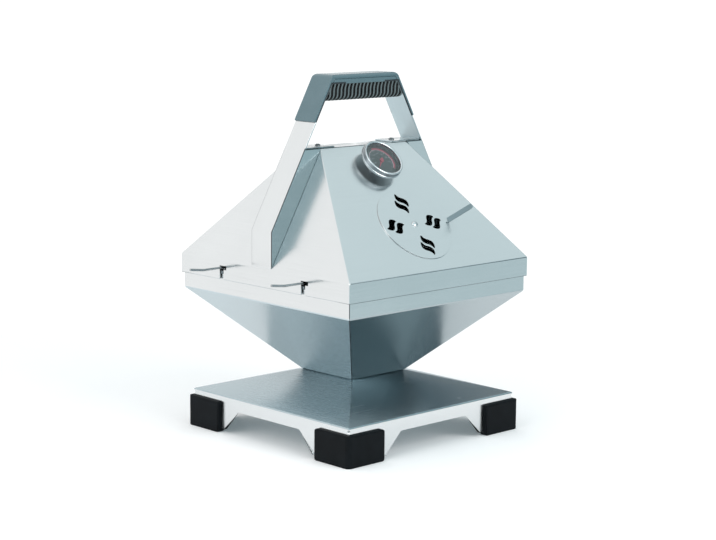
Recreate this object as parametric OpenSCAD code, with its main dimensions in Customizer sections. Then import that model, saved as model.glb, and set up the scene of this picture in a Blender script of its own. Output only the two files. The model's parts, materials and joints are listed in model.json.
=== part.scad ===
// Tabletop charcoal grill: a sheet-steel pyramid lid on an upside-down pyramid bowl,
// carried by a folded base on rubber corner feet.
// Millimetres. The origin is on the table under the centre, X runs along the grip,
// the thermometer and the damper face -Y, and Z points up.

/* [Lid] */
// Outer width of the square lid across its skirt
lid_w = 330; // [300:1:360]
// Height of the lid's upright skirt
lid_skirt_h = 25.5; // [24.5:0.5:32]
// Height of the sloping faces, from the skirt to the flat top
lid_rise = 150; // [135:1:170]
// Length of the flat top, along the grip
plateau_l = 158.6; // [146:0.2:172]
// Depth of the flat top, across the grip
plateau_d = 34; // [30:0.5:40]
// Sheet thickness of the lid
lid_t = 1.2; // [0.8:0.1:1.8]
// Gap between the lid's skirt and the bowl's rim
lid_gap = 1.7; // [1:0.1:2.5]
// How far the skirt hangs down over the bowl's rim
lid_overlap = 20.2; // [18.5:0.1:22]
// Leg of each corner stop that rests on the rim
stop_leg = 24; // [14:1:36]
// Thickness of each corner stop
stop_t = 2; // [1:0.1:2.6]

/* [Bowl] */
// Sheet thickness of the bowl
bowl_t = 1.2; // [0.8:0.1:1.8]
// Height of the bowl's upright rim band
bowl_rim_h = 40.8; // [36:0.2:50]
// Height of the bowl's tapered part
bowl_depth = 111; // [100:1:125]
// Width of the square waist, where bowl and base meet
waist_w = 98.2; // [92:0.2:110]
// Diameter of the air opening through the waist
air_d = 40; // [30:1:46]

/* [Base] */
// Outer width of the square base across its skirt
base_w = 307; // [280:1:330]
// Sheet thickness of the base
base_t = 1.5; // [1:0.1:2]
// Height of the base's upright skirt
base_skirt_h = 46; // [42:1:56]
// Height of the base's sloping top
base_slope_h = 29.2; // [22:0.2:40]
// Width of each skirt cut-out along its upper edge
cut_top_w = 121; // [90:1:128]
// Height of each skirt cut-out
cut_h = 28; // [18:1:30]
// Slope of the cut-out's ends, in degrees from level
cut_slope = 45; // [42:1:70]
// Radius of the cut-out's upper corners
cut_r = 6; // [2:0.5:10]
// Diameter of the relief hole at each folded corner
relief_d = 5; // [3:0.5:6]

/* [Feet] */
// Length of each foot's legs, from its outer corner
foot_leg = 65; // [50:1:68]
// Height of each foot
foot_h = 42; // [34:1:46]
// Rubber under the skirt's lower edge
foot_sole = 5; // [3:0.5:10]
// Rubber outside the skirt
foot_wall = 6; // [4:0.5:9]
// Rubber inside the skirt
foot_inner_wall = 4; // [3:0.5:8]
// Height of the inner wall above the sole
foot_inner_h = 20; // [10:1:30]
// Radius of the foot's upright outer corner
foot_r = 7; // [3:0.5:10]
// Radius of the foot's upper edges and leg ends
foot_edge_r = 3; // [1:0.5:4]
// Radius of the foot's lower edges
foot_sole_r = 1.5; // [0.5:0.5:2]
// Radius of a leg's end corners, seen from its side
foot_end_r = 5; // [2:0.5:8]

/* [Waist bolts] */
// Diameter of the bolts that hold bowl and base together
bolt_d = 5; // [4:0.5:6]
// Distance between neighbouring bolts
bolt_pitch = 62; // [58:1:68]
// Diameter of a bolt's head
bolt_head_d = 10; // [8:0.5:11]
// Height of a bolt's head
bolt_head_h = 2.5; // [2:0.5:4]
// Width of a waist nut across its flats
nut_w = 8; // [8:0.5:11]
// Height of a waist nut
nut_h = 4; // [3:0.5:6]
// Bolt length that stands out below its nut
bolt_tail = 2; // [1:0.5:5]
// Radial clearance of a fixed screw in its hole
screw_fit = 0.1; // [0.05:0.05:0.3]

/* [Grates and ash pan] */
// Rod diameter of a grate's frame
frame_d = 5; // [4:0.5:7]
// Rod diameter of a grate's bars
bar_d = 3.6; // [2.5:0.1:3.8]
// Bend radius at a grate's corners
frame_r = 9; // [7:1:16]
// Height of the cooking grate above the waist
cook_h = 98; // [80:1:99]
// Spacing of the cooking grate's bars
cook_pitch = 13; // [9:0.5:20]
// Height of the charcoal grate above the waist
coal_h = 33; // [30:1:50]
// Spacing of the charcoal grate's bars
coal_pitch = 12; // [9:0.5:20]
// Place of a grate's two cross bars, as a share of its half-width
cross_at = 0.33; // [0.2:0.01:0.6]
// Drop of the cross bars under the bars, as a share of the bars' diameter
cross_drop = 0.7; // [0.5:0.05:0.9]
// Gap between a grate's frame and the bowl's wall
seat_gap = 0.3; // [0.2:0.1:0.6]
// Height of the ash pan
pan_h = 16; // [10:1:18]
// Sheet thickness of the ash pan
pan_t = 1; // [0.6:0.1:1.6]
// Level gap between the ash pan and the bowl's wall
pan_gap = 3; // [2:0.5:6]
// Height of the ash pan's air collar
collar_h = 13; // [8:1:18]

/* [Latches] */
// Wire diameter of a latch lever
wire_d = 3.2; // [2.4:0.1:3.6]
// Distance between the two latches of a side
latch_pitch = 160; // [130:1:190]
// How far a lever stands out past the lid's skirt
latch_reach = 53; // [40:1:65]
// Length of a lever's raised finger tip
tip_l = 24; // [10:1:34]
// Rise of the finger tip, in degrees
tip_rise = 7; // [2:1:15]
// Bend radius between a lever and its finger tip
tip_r = 30; // [10:1:40]
// Height of a lever above the skirt's lower edge
latch_lift = 15.8; // [14:0.1:17]
// Bend radius between a lever and its pin
latch_bend = 5; // [4:0.5:6]
// Swing of a lever into the notch's hook, in degrees
latch_swing = 30; // [22:1:34]
// Distance of a lever's pin from the rim's inner face
lug_reach = 7; // [6:0.5:8]
// Outer diameter of the lug that holds a lever's pin
lug_d = 8; // [7:0.5:10]
// Height of a lug
lug_h = 12; // [8:0.5:15]
// Radial running clearance of a lever's pin
pin_fit = 0.05; // [0.03:0.01:0.1]
// Diameter of the upset head under a pin
pin_head_d = 5.6; // [4.6:0.1:6.6]
// Height of the upset head under a pin
pin_head_h = 1.5; // [1:0.1:3]
// End play of a lever's pin in its lug
pin_play = 0.3; // [0.2:0.1:0.5]
// Width of a notch's open leg
notch_w = 8; // [6.5:0.5:9]
// Clearance round a lever in the notches
notch_gap = 1; // [0.6:0.1:1.4]
// Depth of the rim's notch below a lever's centre line
rim_notch_drop = 8.6; // [4:0.2:10]

/* [Handle arms] */
// Width of an arm
arm_w = 39; // [32:0.5:44]
// Sheet thickness of an arm
arm_t = 2; // [1.5:0.1:3]
// Height of an arm's upright part above the skirt
arm_knee = 48; // [30:1:60]
// Lean of an arm, in degrees from upright
arm_lean = 29; // [27:0.5:30.5]
// Height of the arm's folded end above the lid's flat top
arm_top = 84.6; // [76:0.2:92]
// Length of the arm's folded end
flange_l = 26; // [20:1:32]
// How far the arm's tab lies in over the lid's flat top
tab_l = 26; // [18:1:34]
// Distance of the tab's screw from the end of the flat top
tab_screw = 11.4; // [8:0.2:16]
// Diameter of the small screws
screw_d = 4; // [3:0.5:5]
// Diameter of a small screw's head
screw_head_d = 7.5; // [7:0.5:10]
// Height of a small screw's head
screw_head_h = 2.2; // [1.6:0.2:3.6]
// Width of a small nut across its flats
small_nut_w = 7; // [6.5:0.5:9]
// Height of a small nut
small_nut_h = 3.2; // [2.4:0.2:5]
// Screw length that stands out past a small nut
screw_tail = 3; // [1:0.5:6]

/* [Grip] */
// Width of the grip cover
grip_w = 39; // [36:0.5:48]
// Thickness of the cover outside an arm
grip_wall = 2.5; // [2:0.5:6]
// Thickness of the cover over the arms' folded ends
grip_crown = 10; // [9:0.5:16]
// Length of the cover's legs, down from the arms' folded ends
grip_drop = 50; // [36:1:60]
// Radius of the cover's upper corners, seen from the front
grip_corner_r = 8; // [6:0.5:14]
// Radius of the cover's long upper edges
grip_edge_r = 5; // [3:0.5:8]
// Radius of the ends of the cover's legs
grip_end_r = 1.5; // [0.5:0.1:2]
// Width and depth of the seam line along the cover's sides
seam_w = 1; // [0.4:0.1:1.2]
// Distance of the seam line below the cover's top
seam_in = 5; // [4:0.2:6]
// Width of the ribbed insert
insert_w = 37; // [32:0.5:38]
// Height of the ribbed insert
insert_h = 22; // [17:1:26]
// Radius of the insert's lower edges
insert_r = 7; // [3:0.5:10]
// Spacing of the insert's ribs
rib_pitch = 6.6; // [5:0.1:9]
// Width of the groove between two ribs
groove_w = 3.4; // [2:0.1:4]
// Depth of the grooves
groove_depth = 2.5; // [1:0.1:3.5]
// Side sweep of the wavy ribs
rib_sway = 0.8; // [0:0.1:1.6]
// Slant of the ribs, sideways over the insert's height
rib_slant = 5.5; // [0:0.1:9]
// Distance of the grip's screws from the arms' folded ends
grip_screw_in = 12; // [9:0.5:16]
// Depth of the recess for a grip screw's head
grip_recess = 8; // [6:0.5:12]
// Depth of a grip screw in the cover
grip_bite = 7; // [5:0.5:8]

/* [Thermometer] */
// Distance of the thermometer up the front face, from the skirt
gauge_up = 174; // [165:1:177]
// Diameter of the bezel
gauge_d = 60; // [50:1:64]
// Width of the bezel's front ring
bezel_w = 4.5; // [3:0.5:7]
// Thickness of the bezel's front ring
bezel_t = 1.5; // [1:0.1:2.5]
// Wall of the bezel round the case
bezel_wall = 1.4; // [1:0.1:2]
// Depth of the bezel behind its window
bezel_skirt = 5; // [3:0.5:6]
// Depth of the case
case_h = 7; // [6.5:0.5:11]
// Wall of the case
case_t = 1.2; // [0.8:0.1:1.8]
// Thickness of the window
lens_t = 1.5; // [1:0.1:2.5]
// Radial gap between the thermometer's fixed pieces
gauge_fit = 0.1; // [0.05:0.05:0.2]
// Thickness of the dial plate
dial_t = 0.8; // [0.5:0.1:1.2]
// Diameter of the pointer's hub
hub_d = 6; // [4:0.5:9]
// Height of the pointer's hub
hub_h = 1.4; // [1:0.1:2]
// Gap between the pointer's hub and the dial
hub_gap = 0.3; // [0.2:0.1:0.6]
// Length of the pointer, from its axis
pointer_l = 20; // [14:0.5:21]
// Length of the pointer's tail
pointer_tail = 6; // [4:0.5:10]
// Width of the pointer at its hub
pointer_w = 2.4; // [1.2:0.1:3.5]
// Thickness of the pointer
pointer_t = 0.6; // [0.4:0.1:0.9]
// Rest direction of the pointer, in degrees from the face's level line
pointer_rest = 225; // [200:1:260]
// Diameter of the pointer's spindle
spindle_d = 1.8; // [1.2:0.1:2.6]
// Length of the spindle below the case
spindle_l = 2; // [1:0.5:3]
// Diameter of the boss between case and lid
boss_d = 18; // [14:0.5:22]
// Height of the boss between case and lid
boss_h = 8; // [4:0.5:12]
// Diameter of the stem's threaded neck
neck_d = 10; // [8:0.5:12]
// Height of the nut on the neck
gauge_nut_h = 5; // [3:0.5:7]
// Width of that nut across its flats
gauge_nut_w = 15; // [13:0.5:18]
// Neck length that stands out past the nut
neck_tail = 2; // [1:0.5:4]
// Diameter of the probe
probe_d = 5; // [3:0.5:7]
// Length of the probe past the neck
probe_l = 36; // [20:1:50]

/* [Damper] */
// Distance of the damper up the front face, from the skirt
damper_up = 74.5; // [68:0.5:84]
// Diameter of the damper disc
damper_d = 112; // [108:1:120]
// Sheet thickness of the damper disc
damper_t = 1; // [0.8:0.1:1.6]
// Running gap between disc and lid, and between disc and rivet head
damper_gap = 0.15; // [0.1:0.05:0.3]
// Diameter of the rivet's shank
rivet_d = 5; // [4:0.5:7]
// Diameter of the rivet's heads
rivet_head_d = 9; // [8:0.5:12]
// Height of the rivet's heads
rivet_head_h = 2; // [1:0.1:3]
// Radial running clearance of the disc on its rivet
rivet_fit = 0.05; // [0.03:0.01:0.1]
// Diameter of the washer inside the lid
washer_d = 16; // [12:0.5:20]
// Thickness of the washer inside the lid
washer_t = 1; // [0.6:0.1:2]
// Radius to the middle of each group of slots
slot_ring = 34.5; // [33:0.5:36]
// Length of a wavy slot, out from the rivet
slot_l = 20.6; // [18:0.2:21]
// Width of a wavy slot with its two hooks
slot_w = 14.8; // [12:0.2:15]
// Spacing of the two slots in a group
slot_pitch = 12.1; // [11.6:0.1:13.6]
// Lean of a group's two slots, in degrees from the line through the rivet
slot_lean = 32.5; // [26:0.5:38]
// Edge of each lid window outside its slots
window_edge = 0.6; // [0.3:0.1:1]
// Width of the finger lever
lever_w = 7; // [5:0.5:10]
// Distance of the lever's bend from the damper's axis
lever_start = 63; // [61:0.5:68]
// Length of the raised lever
lever_l = 38; // [24:1:44]
// Rise of the lever, in degrees off the lid's face
lever_rise = 48; // [20:1:60]
// Radius of the lever's tip, as a share of its width
lever_round = 0.45; // [0.1:0.05:0.45]

/* [Hidden] */
$fn = 64;
arc_steps = 6;
rib_steps = 6;
slot_steps = 3;
cut_through = 10;
// A rod runs this far into its bends, which are this much thicker, so that they join as one
rod_lap = 0.2;
bend_swell = 0.04;
steel = [0.80, 0.83, 0.84];
bright = [0.90, 0.91, 0.92];
plain_steel = [0.62, 0.64, 0.65];
iron = [0.32, 0.32, 0.33];
rubber = [0.08, 0.08, 0.09];
plastic = [0.42, 0.47, 0.48];
dark_plastic = [0.16, 0.18, 0.19];

// Levels, from the table up
skirt_z = foot_sole;
base_edge_z = skirt_z + base_skirt_h;
waist_z = base_edge_z + base_slope_h;
rim_z = waist_z + bowl_depth;
rim_top = rim_z + bowl_rim_h;
lid_z = rim_top - lid_overlap;
lid_edge_z = lid_z + lid_skirt_h;
plateau_z = lid_edge_z + lid_rise;
knee_z = lid_edge_z + arm_knee;
flange_z = plateau_z + arm_top;
insert_top = flange_z - arm_t;
grip_top = flange_z + grip_crown;
wire_z = lid_z + latch_lift;

// Slopes from level, in degrees
lid_side_slope = atan2(lid_rise, (lid_w - plateau_l) / 2);
lid_front_slope = atan2(lid_rise, (lid_w - plateau_d) / 2);
rim_w = lid_w - 2 * (lid_t + lid_gap);
bowl_slope = atan2(bowl_depth, (rim_w - waist_w) / 2);
base_slope = atan2(base_slope_h, (base_w - waist_w) / 2);

// Latch pins, levers and notches
pin_x = rim_w / 2 - bowl_t - lug_reach;
lug_top = wire_z - latch_bend - pin_play;
swing_at_skirt = (lid_w / 2 - pin_x) * tan(latch_swing) + wire_d / 2 / cos(latch_swing) + notch_gap;
swing_at_rim = (rim_w / 2 - pin_x) * tan(latch_swing) + wire_d / 2 / cos(latch_swing) + notch_gap;

// Small screws
tab_screw_x = plateau_l / 2 - tab_screw;
grip_screw_x = arm_x(flange_z) - flange_l + grip_screw_in;

// Thermometer, stacked off the lid's front face
case_back = boss_h;
dial_z = case_back + case_t;
hub_z = dial_z + dial_t + hub_gap;
lens_z = case_back + case_h;
bezel_front = lens_z + lens_t + bezel_t;
case_d = gauge_d - 2 * (bezel_wall + gauge_fit);
sight_d = gauge_d - 2 * bezel_w;

// A unit vector along v
function unit(v) = v / norm(v);

// Points of the round corner of radius r at b, between the edges to a and to c
function corner(a, b, c, r) =
    let (u = unit(a - b), v = unit(c - b))
    let (half = acos(u * v) / 2)
    let (centre = b + unit(u + v) * r / sin(half))
    let (from = b + u * r / tan(half) - centre)
    let (to = b + v * r / tan(half) - centre)
    let (start = atan2(from[1], from[0]))
    let (turn = atan2(from[0] * to[1] - from[1] * to[0], from * to))
    let (angles = [for (i = [0 : arc_steps]) start + turn * i / arc_steps])
    [for (a = angles) centre + r * [cos(a), sin(a)]];

// An outline whose corner i has the radius radii[i], or stays sharp at 0
function rounded(points, radii) =
    let (n = len(points))
    [for (i = [0 : n - 1]) each radii[i] == 0
        ? [points[i]]
        : corner(points[(i + n - 1) % n], points[i], points[(i + 1) % n], radii[i])];

// A closed outline from its right half, listed upwards
function both_halves(half) = concat(half, [for (i = [len(half) - 1 : -1 : 0]) [-half[i][0], half[i][1]]]);

// Half-width lost on the inside of a fold between a level sheet and a slope
function fold_in(t, slope) = t * tan(slope / 2);

// Height lost on the inside of a fold between an upright sheet and a slope
function fold_down(t, slope) = t * tan((90 - slope) / 2);

// Half-width of the bowl's inside at height z of its taper
function bowl_inside(z) = waist_w / 2 + (z - waist_z) / tan(bowl_slope) - bowl_t / sin(bowl_slope);

// Outer and inner half-width of the handle at height z of the leaning arms
function arm_x(z) = lid_w / 2 - (z - knee_z) * tan(arm_lean);
function arm_inside(z) = arm_x(z) - arm_t / cos(arm_lean);

// Half-width of a grate's frame that seats at height z in the bowl
function grate_half(z) = bowl_inside(z) - (frame_d / 2 + seat_gap) / sin(bowl_slope);

// An outline seen from the front, drawn out along y
module drawn_along_y(outline, span) {
    rotate([90, 0, 0]) linear_extrude(span, center = true) polygon(outline);
}

// An outline seen from the side, drawn out along x
module drawn_along_x(outline, span) {
    rotate([90, 0, 90]) linear_extrude(span, center = true) polygon(outline);
}

// A body with outline along_x seen from the front and outline along_y seen from the side
module crossed(along_x, along_y, span) {
    intersection() {
        drawn_along_y(along_x, span);
        drawn_along_x(along_y, span);
    }
}

// The part of its children that lies past a distance out along x
module past_x(distance, span) {
    intersection() {
        children();
        translate([distance, -span / 2, 0]) cube([span, span, grip_top]);
    }
}

// The part of its children that lies within a distance of the plane y = 0
module within_y(distance, span) {
    intersection() {
        children();
        translate([-span / 2, -distance, 0]) cube([span, 2 * distance, grip_top]);
    }
}

// The part of its children that lies past a distance out along -y
module past_front(distance, span) {
    intersection() {
        children();
        translate([-span / 2, -distance - span, 0]) cube([span, span, grip_top]);
    }
}

// Children at a place up the lid's front face, with local z off the face
module on_front(up) {
    translate([0, -lid_w / 2, lid_edge_z]) rotate([lid_front_slope, 0, 0]) translate([0, up, 0]) children();
}

// Children at each of the four corners of a square pattern
module at_corners(pitch) {
    for (x = [-1, 1], y = [-1, 1]) translate([x * pitch / 2, y * pitch / 2, 0]) children();
}

// Children turned to each of the four sides
module on_four_sides() {
    for (k = [0 : 3]) rotate([0, 0, 90 * k]) children();
}

// Children at each latch, with local x pointing out through the skirt
module at_latches() {
    for (side = [-1, 1], row = [-1, 1]) at_latch(side, row) children();
}

module at_latch(side, row) {
    translate([side * pin_x, row * latch_pitch / 2, 0]) mirror([side < 0 ? 1 : 0, 0, 0]) children();
}

// A hexagon nut of width w across its flats, standing on z = 0
module hex_nut(w, h, bore) {
    difference() {
        cylinder(d = w / cos(30), h = h, $fn = 6);
        translate([0, 0, -cut_through]) cylinder(d = bore, h = h + 2 * cut_through);
    }
}

// A screw whose head stands on z = 0 and whose shank goes down
module screw(d, l, head_d, head_h) {
    cylinder(d = head_d, h = head_h);
    translate([0, 0, -l]) cylinder(d = d, h = l);
}

// A bend of rod in the XY plane, round its centre, from angle start
module rod_bend(d, r, start, turn) {
    rotate([0, 0, start]) rotate_extrude(angle = turn) translate([r, 0]) circle(d = d + bend_swell);
}

// A straight rod along z that runs a little into the bends at its two ends
module rod(d, l) {
    translate([0, 0, -rod_lap]) cylinder(d = d, h = l + 2 * rod_lap);
}

// Base
base_outer = both_halves([[base_w / 2, skirt_z], [base_w / 2, base_edge_z], [waist_w / 2, waist_z]]);
base_inner = both_halves([
    [base_w / 2 - base_t, skirt_z - cut_through],
    [base_w / 2 - base_t, base_edge_z - fold_down(base_t, base_slope)],
    [waist_w / 2 - fold_in(base_t, base_slope), waist_z - base_t]
]);
cut_foot = cut_top_w / 2 + (cut_h + cut_through) / tan(cut_slope);
cut_outline = rounded(
    [[cut_foot, skirt_z - cut_through], [cut_top_w / 2, skirt_z + cut_h],
     [-cut_top_w / 2, skirt_z + cut_h], [-cut_foot, skirt_z - cut_through]],
    [0, cut_r, cut_r, 0]);

module base_shell() {
    color(steel) difference() {
        crossed(base_outer, base_outer, base_w);
        crossed(base_inner, base_inner, base_w);
        for (turn = [0, 90])
            rotate([90, 0, turn]) linear_extrude(base_w + cut_through, center = true) polygon(cut_outline);
        at_corners(base_w) translate([0, 0, base_edge_z - relief_d]) sphere(d = relief_d);
        at_corners(bolt_pitch) translate([0, 0, waist_z - cut_through])
            cylinder(r = bolt_d / 2 + screw_fit, h = 2 * cut_through);
        translate([0, 0, waist_z - cut_through]) cylinder(d = air_d, h = 2 * cut_through);
    }
}

// Feet
foot_out = base_w / 2 + foot_wall;
foot_in = base_w / 2 - base_t - foot_inner_wall;
foot_plan = rounded(
    [[foot_out - foot_leg, foot_out], [foot_out - foot_leg, foot_in], [foot_in, foot_in],
     [foot_in, foot_out - foot_leg], [foot_out, foot_out - foot_leg], [foot_out, foot_out]],
    [foot_edge_r, foot_edge_r, 0, foot_edge_r, foot_edge_r, foot_r]);
foot_side = rounded(
    [[foot_out - foot_leg, 0], [foot_out, 0], [foot_out, foot_h], [foot_out - foot_leg, foot_h]],
    [foot_end_r, foot_sole_r, foot_edge_r, foot_end_r]);

// The foot of the rear right corner, turned by quarter turns to the others
module foot(quarter) {
    color(rubber) rotate([0, 0, 90 * quarter]) difference() {
        intersection() {
            linear_extrude(foot_h) polygon(foot_plan);
            crossed(foot_side, foot_side, 2 * base_w);
        }
        translate([0, 0, skirt_z]) linear_extrude(foot_h) difference() {
            square(base_w, center = true);
            square(base_w - 2 * base_t, center = true);
        }
        translate([0, 0, skirt_z + foot_inner_h]) linear_extrude(foot_h)
            square(base_w - base_t, center = true);
    }
}

module foot_rear_right() { foot(0); }
module foot_rear_left() { foot(1); }
module foot_front_left() { foot(2); }
module foot_front_right() { foot(3); }

// Bowl
bowl_outer = both_halves([[waist_w / 2, waist_z], [rim_w / 2, rim_z], [rim_w / 2, rim_top]]);
bowl_inner = both_halves([
    [waist_w / 2 - fold_in(bowl_t, bowl_slope), waist_z + bowl_t],
    [rim_w / 2 - bowl_t, rim_z + fold_down(bowl_t, bowl_slope)],
    [rim_w / 2 - bowl_t, rim_top + cut_through]
]);

bowl_floor_half = waist_w / 2 - fold_in(bowl_t, bowl_slope);

// The bowl's front and rear sheets with the floor between them
module bowl_front_to_rear() {
    difference() {
        crossed(bowl_outer, bowl_outer, rim_w);
        drawn_along_x(bowl_inner, 2 * rim_w);
    }
}

module bowl_floor() {
    color(steel) difference() {
        within_y(bowl_floor_half, rim_w) bowl_front_to_rear();
        at_corners(bolt_pitch) translate([0, 0, waist_z - cut_through])
            cylinder(r = bolt_d / 2 + screw_fit, h = 2 * cut_through);
        translate([0, 0, waist_z - cut_through]) cylinder(d = air_d, h = 2 * cut_through);
    }
}

module bowl_front() {
    color(steel) past_front(bowl_floor_half, 2 * rim_w) bowl_front_to_rear();
}

module bowl_rear() {
    color(steel) rotate([0, 0, 180]) past_front(bowl_floor_half, 2 * rim_w) bowl_front_to_rear();
}

// A side sheet of the bowl, between the front and the rear sheets, with the rim's notches
module bowl_side(side) {
    color(steel) mirror([side < 0 ? 1 : 0, 0, 0]) difference() {
        past_x(0, 2 * rim_w) crossed(bowl_outer, bowl_inner, rim_w);
        drawn_along_y(bowl_inner, 2 * rim_w);
        at_latches() translate([lug_reach - cut_through / 2, -swing_at_rim, wire_z - rim_notch_drop])
            cube([cut_through + bowl_t, swing_at_rim + notch_w / 2, bowl_rim_h]);
    }
}

module bowl_left() { bowl_side(-1); }
module bowl_right() { bowl_side(1); }

bolt_stack = bowl_t + base_t + nut_h + bolt_tail;

module waist_bolts() {
    color(plain_steel) at_corners(bolt_pitch) translate([0, 0, waist_z + bowl_t])
        screw(bolt_d, bolt_stack, bolt_head_d, bolt_head_h);
}

module waist_nuts() {
    color(plain_steel) at_corners(bolt_pitch) translate([0, 0, waist_z - base_t - nut_h])
        hex_nut(nut_w, nut_h, bolt_d + 2 * screw_fit);
}

// Latches
module latch_lugs() {
    color(plain_steel) at_latches() translate([0, 0, lug_top - lug_h]) difference() {
        union() {
            cylinder(d = lug_d, h = lug_h);
            translate([0, -lug_d / 2, 0]) cube([lug_reach, lug_d, lug_h]);
        }
        translate([0, 0, -cut_through]) cylinder(r = wire_d / 2 + pin_fit, h = lug_h + 2 * cut_through);
    }
}

// The wire lever, with its pin on the local z axis and its arm along local x
module latch_lever(side, row) {
    pin_end = lug_top - lug_h - pin_play - pin_head_h;
    bend_x = lid_w / 2 - pin_x + latch_reach - tip_l;
    tip_start = [bend_x + tip_r * sin(tip_rise), 0, wire_z + tip_r * (1 - cos(tip_rise))];
    color(bright) at_latch(side, row) {
        translate([0, 0, pin_end]) cylinder(d = pin_head_d, h = pin_head_h);
        translate([0, 0, pin_end]) cylinder(d = wire_d, h = wire_z - latch_bend - pin_end + rod_lap);
        translate([latch_bend, 0, wire_z - latch_bend]) rotate([90, 0, 0])
            rod_bend(wire_d, latch_bend, 90, 90);
        translate([latch_bend, 0, wire_z]) rotate([0, 90, 0]) rod(wire_d, bend_x - latch_bend);
        translate([bend_x, 0, wire_z + tip_r]) rotate([90, 0, 0]) rod_bend(wire_d, tip_r, -90, tip_rise);
        translate(tip_start) rotate([0, 90 - tip_rise, 0])
            rod(wire_d, (tip_l - tip_r * sin(tip_rise)) / cos(tip_rise) - rod_lap);
    }
}

module latch_lever_front_left() { latch_lever(-1, -1); }
module latch_lever_front_right() { latch_lever(1, -1); }
module latch_lever_rear_left() { latch_lever(-1, 1); }
module latch_lever_rear_right() { latch_lever(1, 1); }

// Ash pan, on the heads of the waist bolts
pan_z = waist_z + bowl_t + bolt_head_h;
pan_low = bowl_inside(pan_z) - pan_gap;
pan_high = bowl_inside(pan_z + pan_h) - pan_gap;
pan_rim_inside = pan_high - pan_t / sin(bowl_slope);
pan_outer = both_halves([[pan_low, pan_z], [pan_high, pan_z + pan_h]]);
pan_inner = both_halves([
    [pan_low - fold_in(pan_t, bowl_slope), pan_z + pan_t],
    [pan_rim_inside + cut_through / tan(bowl_slope), pan_z + pan_h + cut_through]
]);

module ash_pan() {
    color(plain_steel) difference() {
        union() {
            difference() {
                crossed(pan_outer, pan_outer, 4 * pan_high);
                crossed(pan_inner, pan_inner, 4 * pan_high);
            }
            translate([0, 0, pan_z]) cylinder(d = air_d + 2 * pan_t, h = collar_h);
        }
        translate([0, 0, pan_z - cut_through]) cylinder(d = air_d, h = collar_h + 2 * cut_through);
    }
}

// A square grate of rods that seats at height z in the bowl, with its cross bars under its bars
module grate(z, pitch) {
    half = grate_half(z);
    straight = half - frame_r;
    count = floor(2 * straight / pitch);
    cross_z = -bar_d * cross_drop;
    cross_half = bowl_inside(z + cross_z - bar_d / 2) - seat_gap / sin(bowl_slope);
    translate([0, 0, z]) {
        on_four_sides() {
            translate([half, straight, 0]) rotate([90, 0, 0]) rod(frame_d, 2 * straight);
            translate([straight, straight, 0]) rod_bend(frame_d, frame_r, 0, 90);
        }
        for (i = [0 : count]) translate([(i - count / 2) * pitch, 0, 0])
            rotate([90, 0, 0]) cylinder(d = bar_d, h = 2 * half, center = true);
        for (side = [-1, 1]) translate([0, side * half * cross_at, cross_z])
            rotate([0, 90, 0]) cylinder(d = bar_d, h = 2 * cross_half, center = true);
    }
}

module charcoal_grate() {
    color(iron) grate(waist_z + coal_h, coal_pitch);
}

module cooking_grate() {
    color(bright) grate(waist_z + cook_h, cook_pitch);
}

// Lid
lid_outer_x = both_halves([[lid_w / 2, lid_z], [lid_w / 2, lid_edge_z], [plateau_l / 2, plateau_z]]);
lid_outer_y = both_halves([[lid_w / 2, lid_z], [lid_w / 2, lid_edge_z], [plateau_d / 2, plateau_z]]);

function lid_inner(top_half, slope) = both_halves([
    [lid_w / 2 - lid_t, lid_z - cut_through],
    [lid_w / 2 - lid_t, lid_edge_z - fold_down(lid_t, slope)],
    [top_half - fold_in(lid_t, slope), plateau_z - lid_t]
]);

module lid_solid() {
    crossed(lid_outer_x, lid_outer_y, lid_w);
}

// Heights of the top of the latch notches and of the step under their hooks
notch_top = wire_z + wire_d / 2 + notch_gap;
notch_step = wire_z - wire_d / 2 - notch_gap;

// The notch for one latch: an open leg upwards, then a hook towards -Y
module latch_notch() {
    through = lid_w / 2 - pin_x - lid_t - cut_through / 2;
    hook_h = notch_top - notch_step;
    translate([through, -notch_w / 2, lid_z - cut_through])
        cube([cut_through + lid_t, notch_w, notch_top - lid_z + cut_through]);
    translate([through, -swing_at_skirt, notch_step]) cube([cut_through + lid_t, swing_at_skirt, hook_h]);
}

// One window of the lid, round a group of slots
module damper_window() {
    half = [
        slot_step + slot_at(slot_half[0]) + window_edge * [-1, 1],
        slot_step + slot_at([slot_half[5][0], -slot_half[5][1] / 2]) + window_edge * [1, 1],
        slot_step + slot_at(slot_half[5]) + window_edge * [1, -1]
    ];
    translate([0, slot_ring]) polygon(concat(half, -half));
}

lid_inner_x = lid_inner(plateau_l / 2, lid_side_slope);
lid_inner_y = lid_inner(plateau_d / 2, lid_front_slope);
lid_top_half = plateau_d / 2 - fold_in(lid_t, lid_front_slope);

// The lid's front and rear sheets with the flat top between them
module lid_front_to_rear() {
    difference() {
        lid_solid();
        drawn_along_x(lid_inner_y, 2 * lid_w);
    }
}

module lid_top() {
    color(steel) difference() {
        within_y(lid_top_half, lid_w) lid_front_to_rear();
        for (side = [-1, 1]) translate([side * tab_screw_x, 0, plateau_z])
            cylinder(r = screw_d / 2 + screw_fit, h = cut_through, center = true);
    }
}

module lid_front() {
    color(steel) difference() {
        past_front(lid_top_half, 2 * lid_w) lid_front_to_rear();
        on_front(gauge_up) cylinder(r = neck_d / 2 + screw_fit, h = cut_through, center = true);
        on_front(damper_up) cylinder(r = rivet_d / 2 + screw_fit, h = cut_through, center = true);
        on_front(damper_up) on_four_sides() linear_extrude(cut_through, center = true) damper_window();
    }
}

module lid_rear() {
    color(steel) rotate([0, 0, 180]) past_front(lid_top_half, 2 * lid_w) lid_front_to_rear();
}

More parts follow.
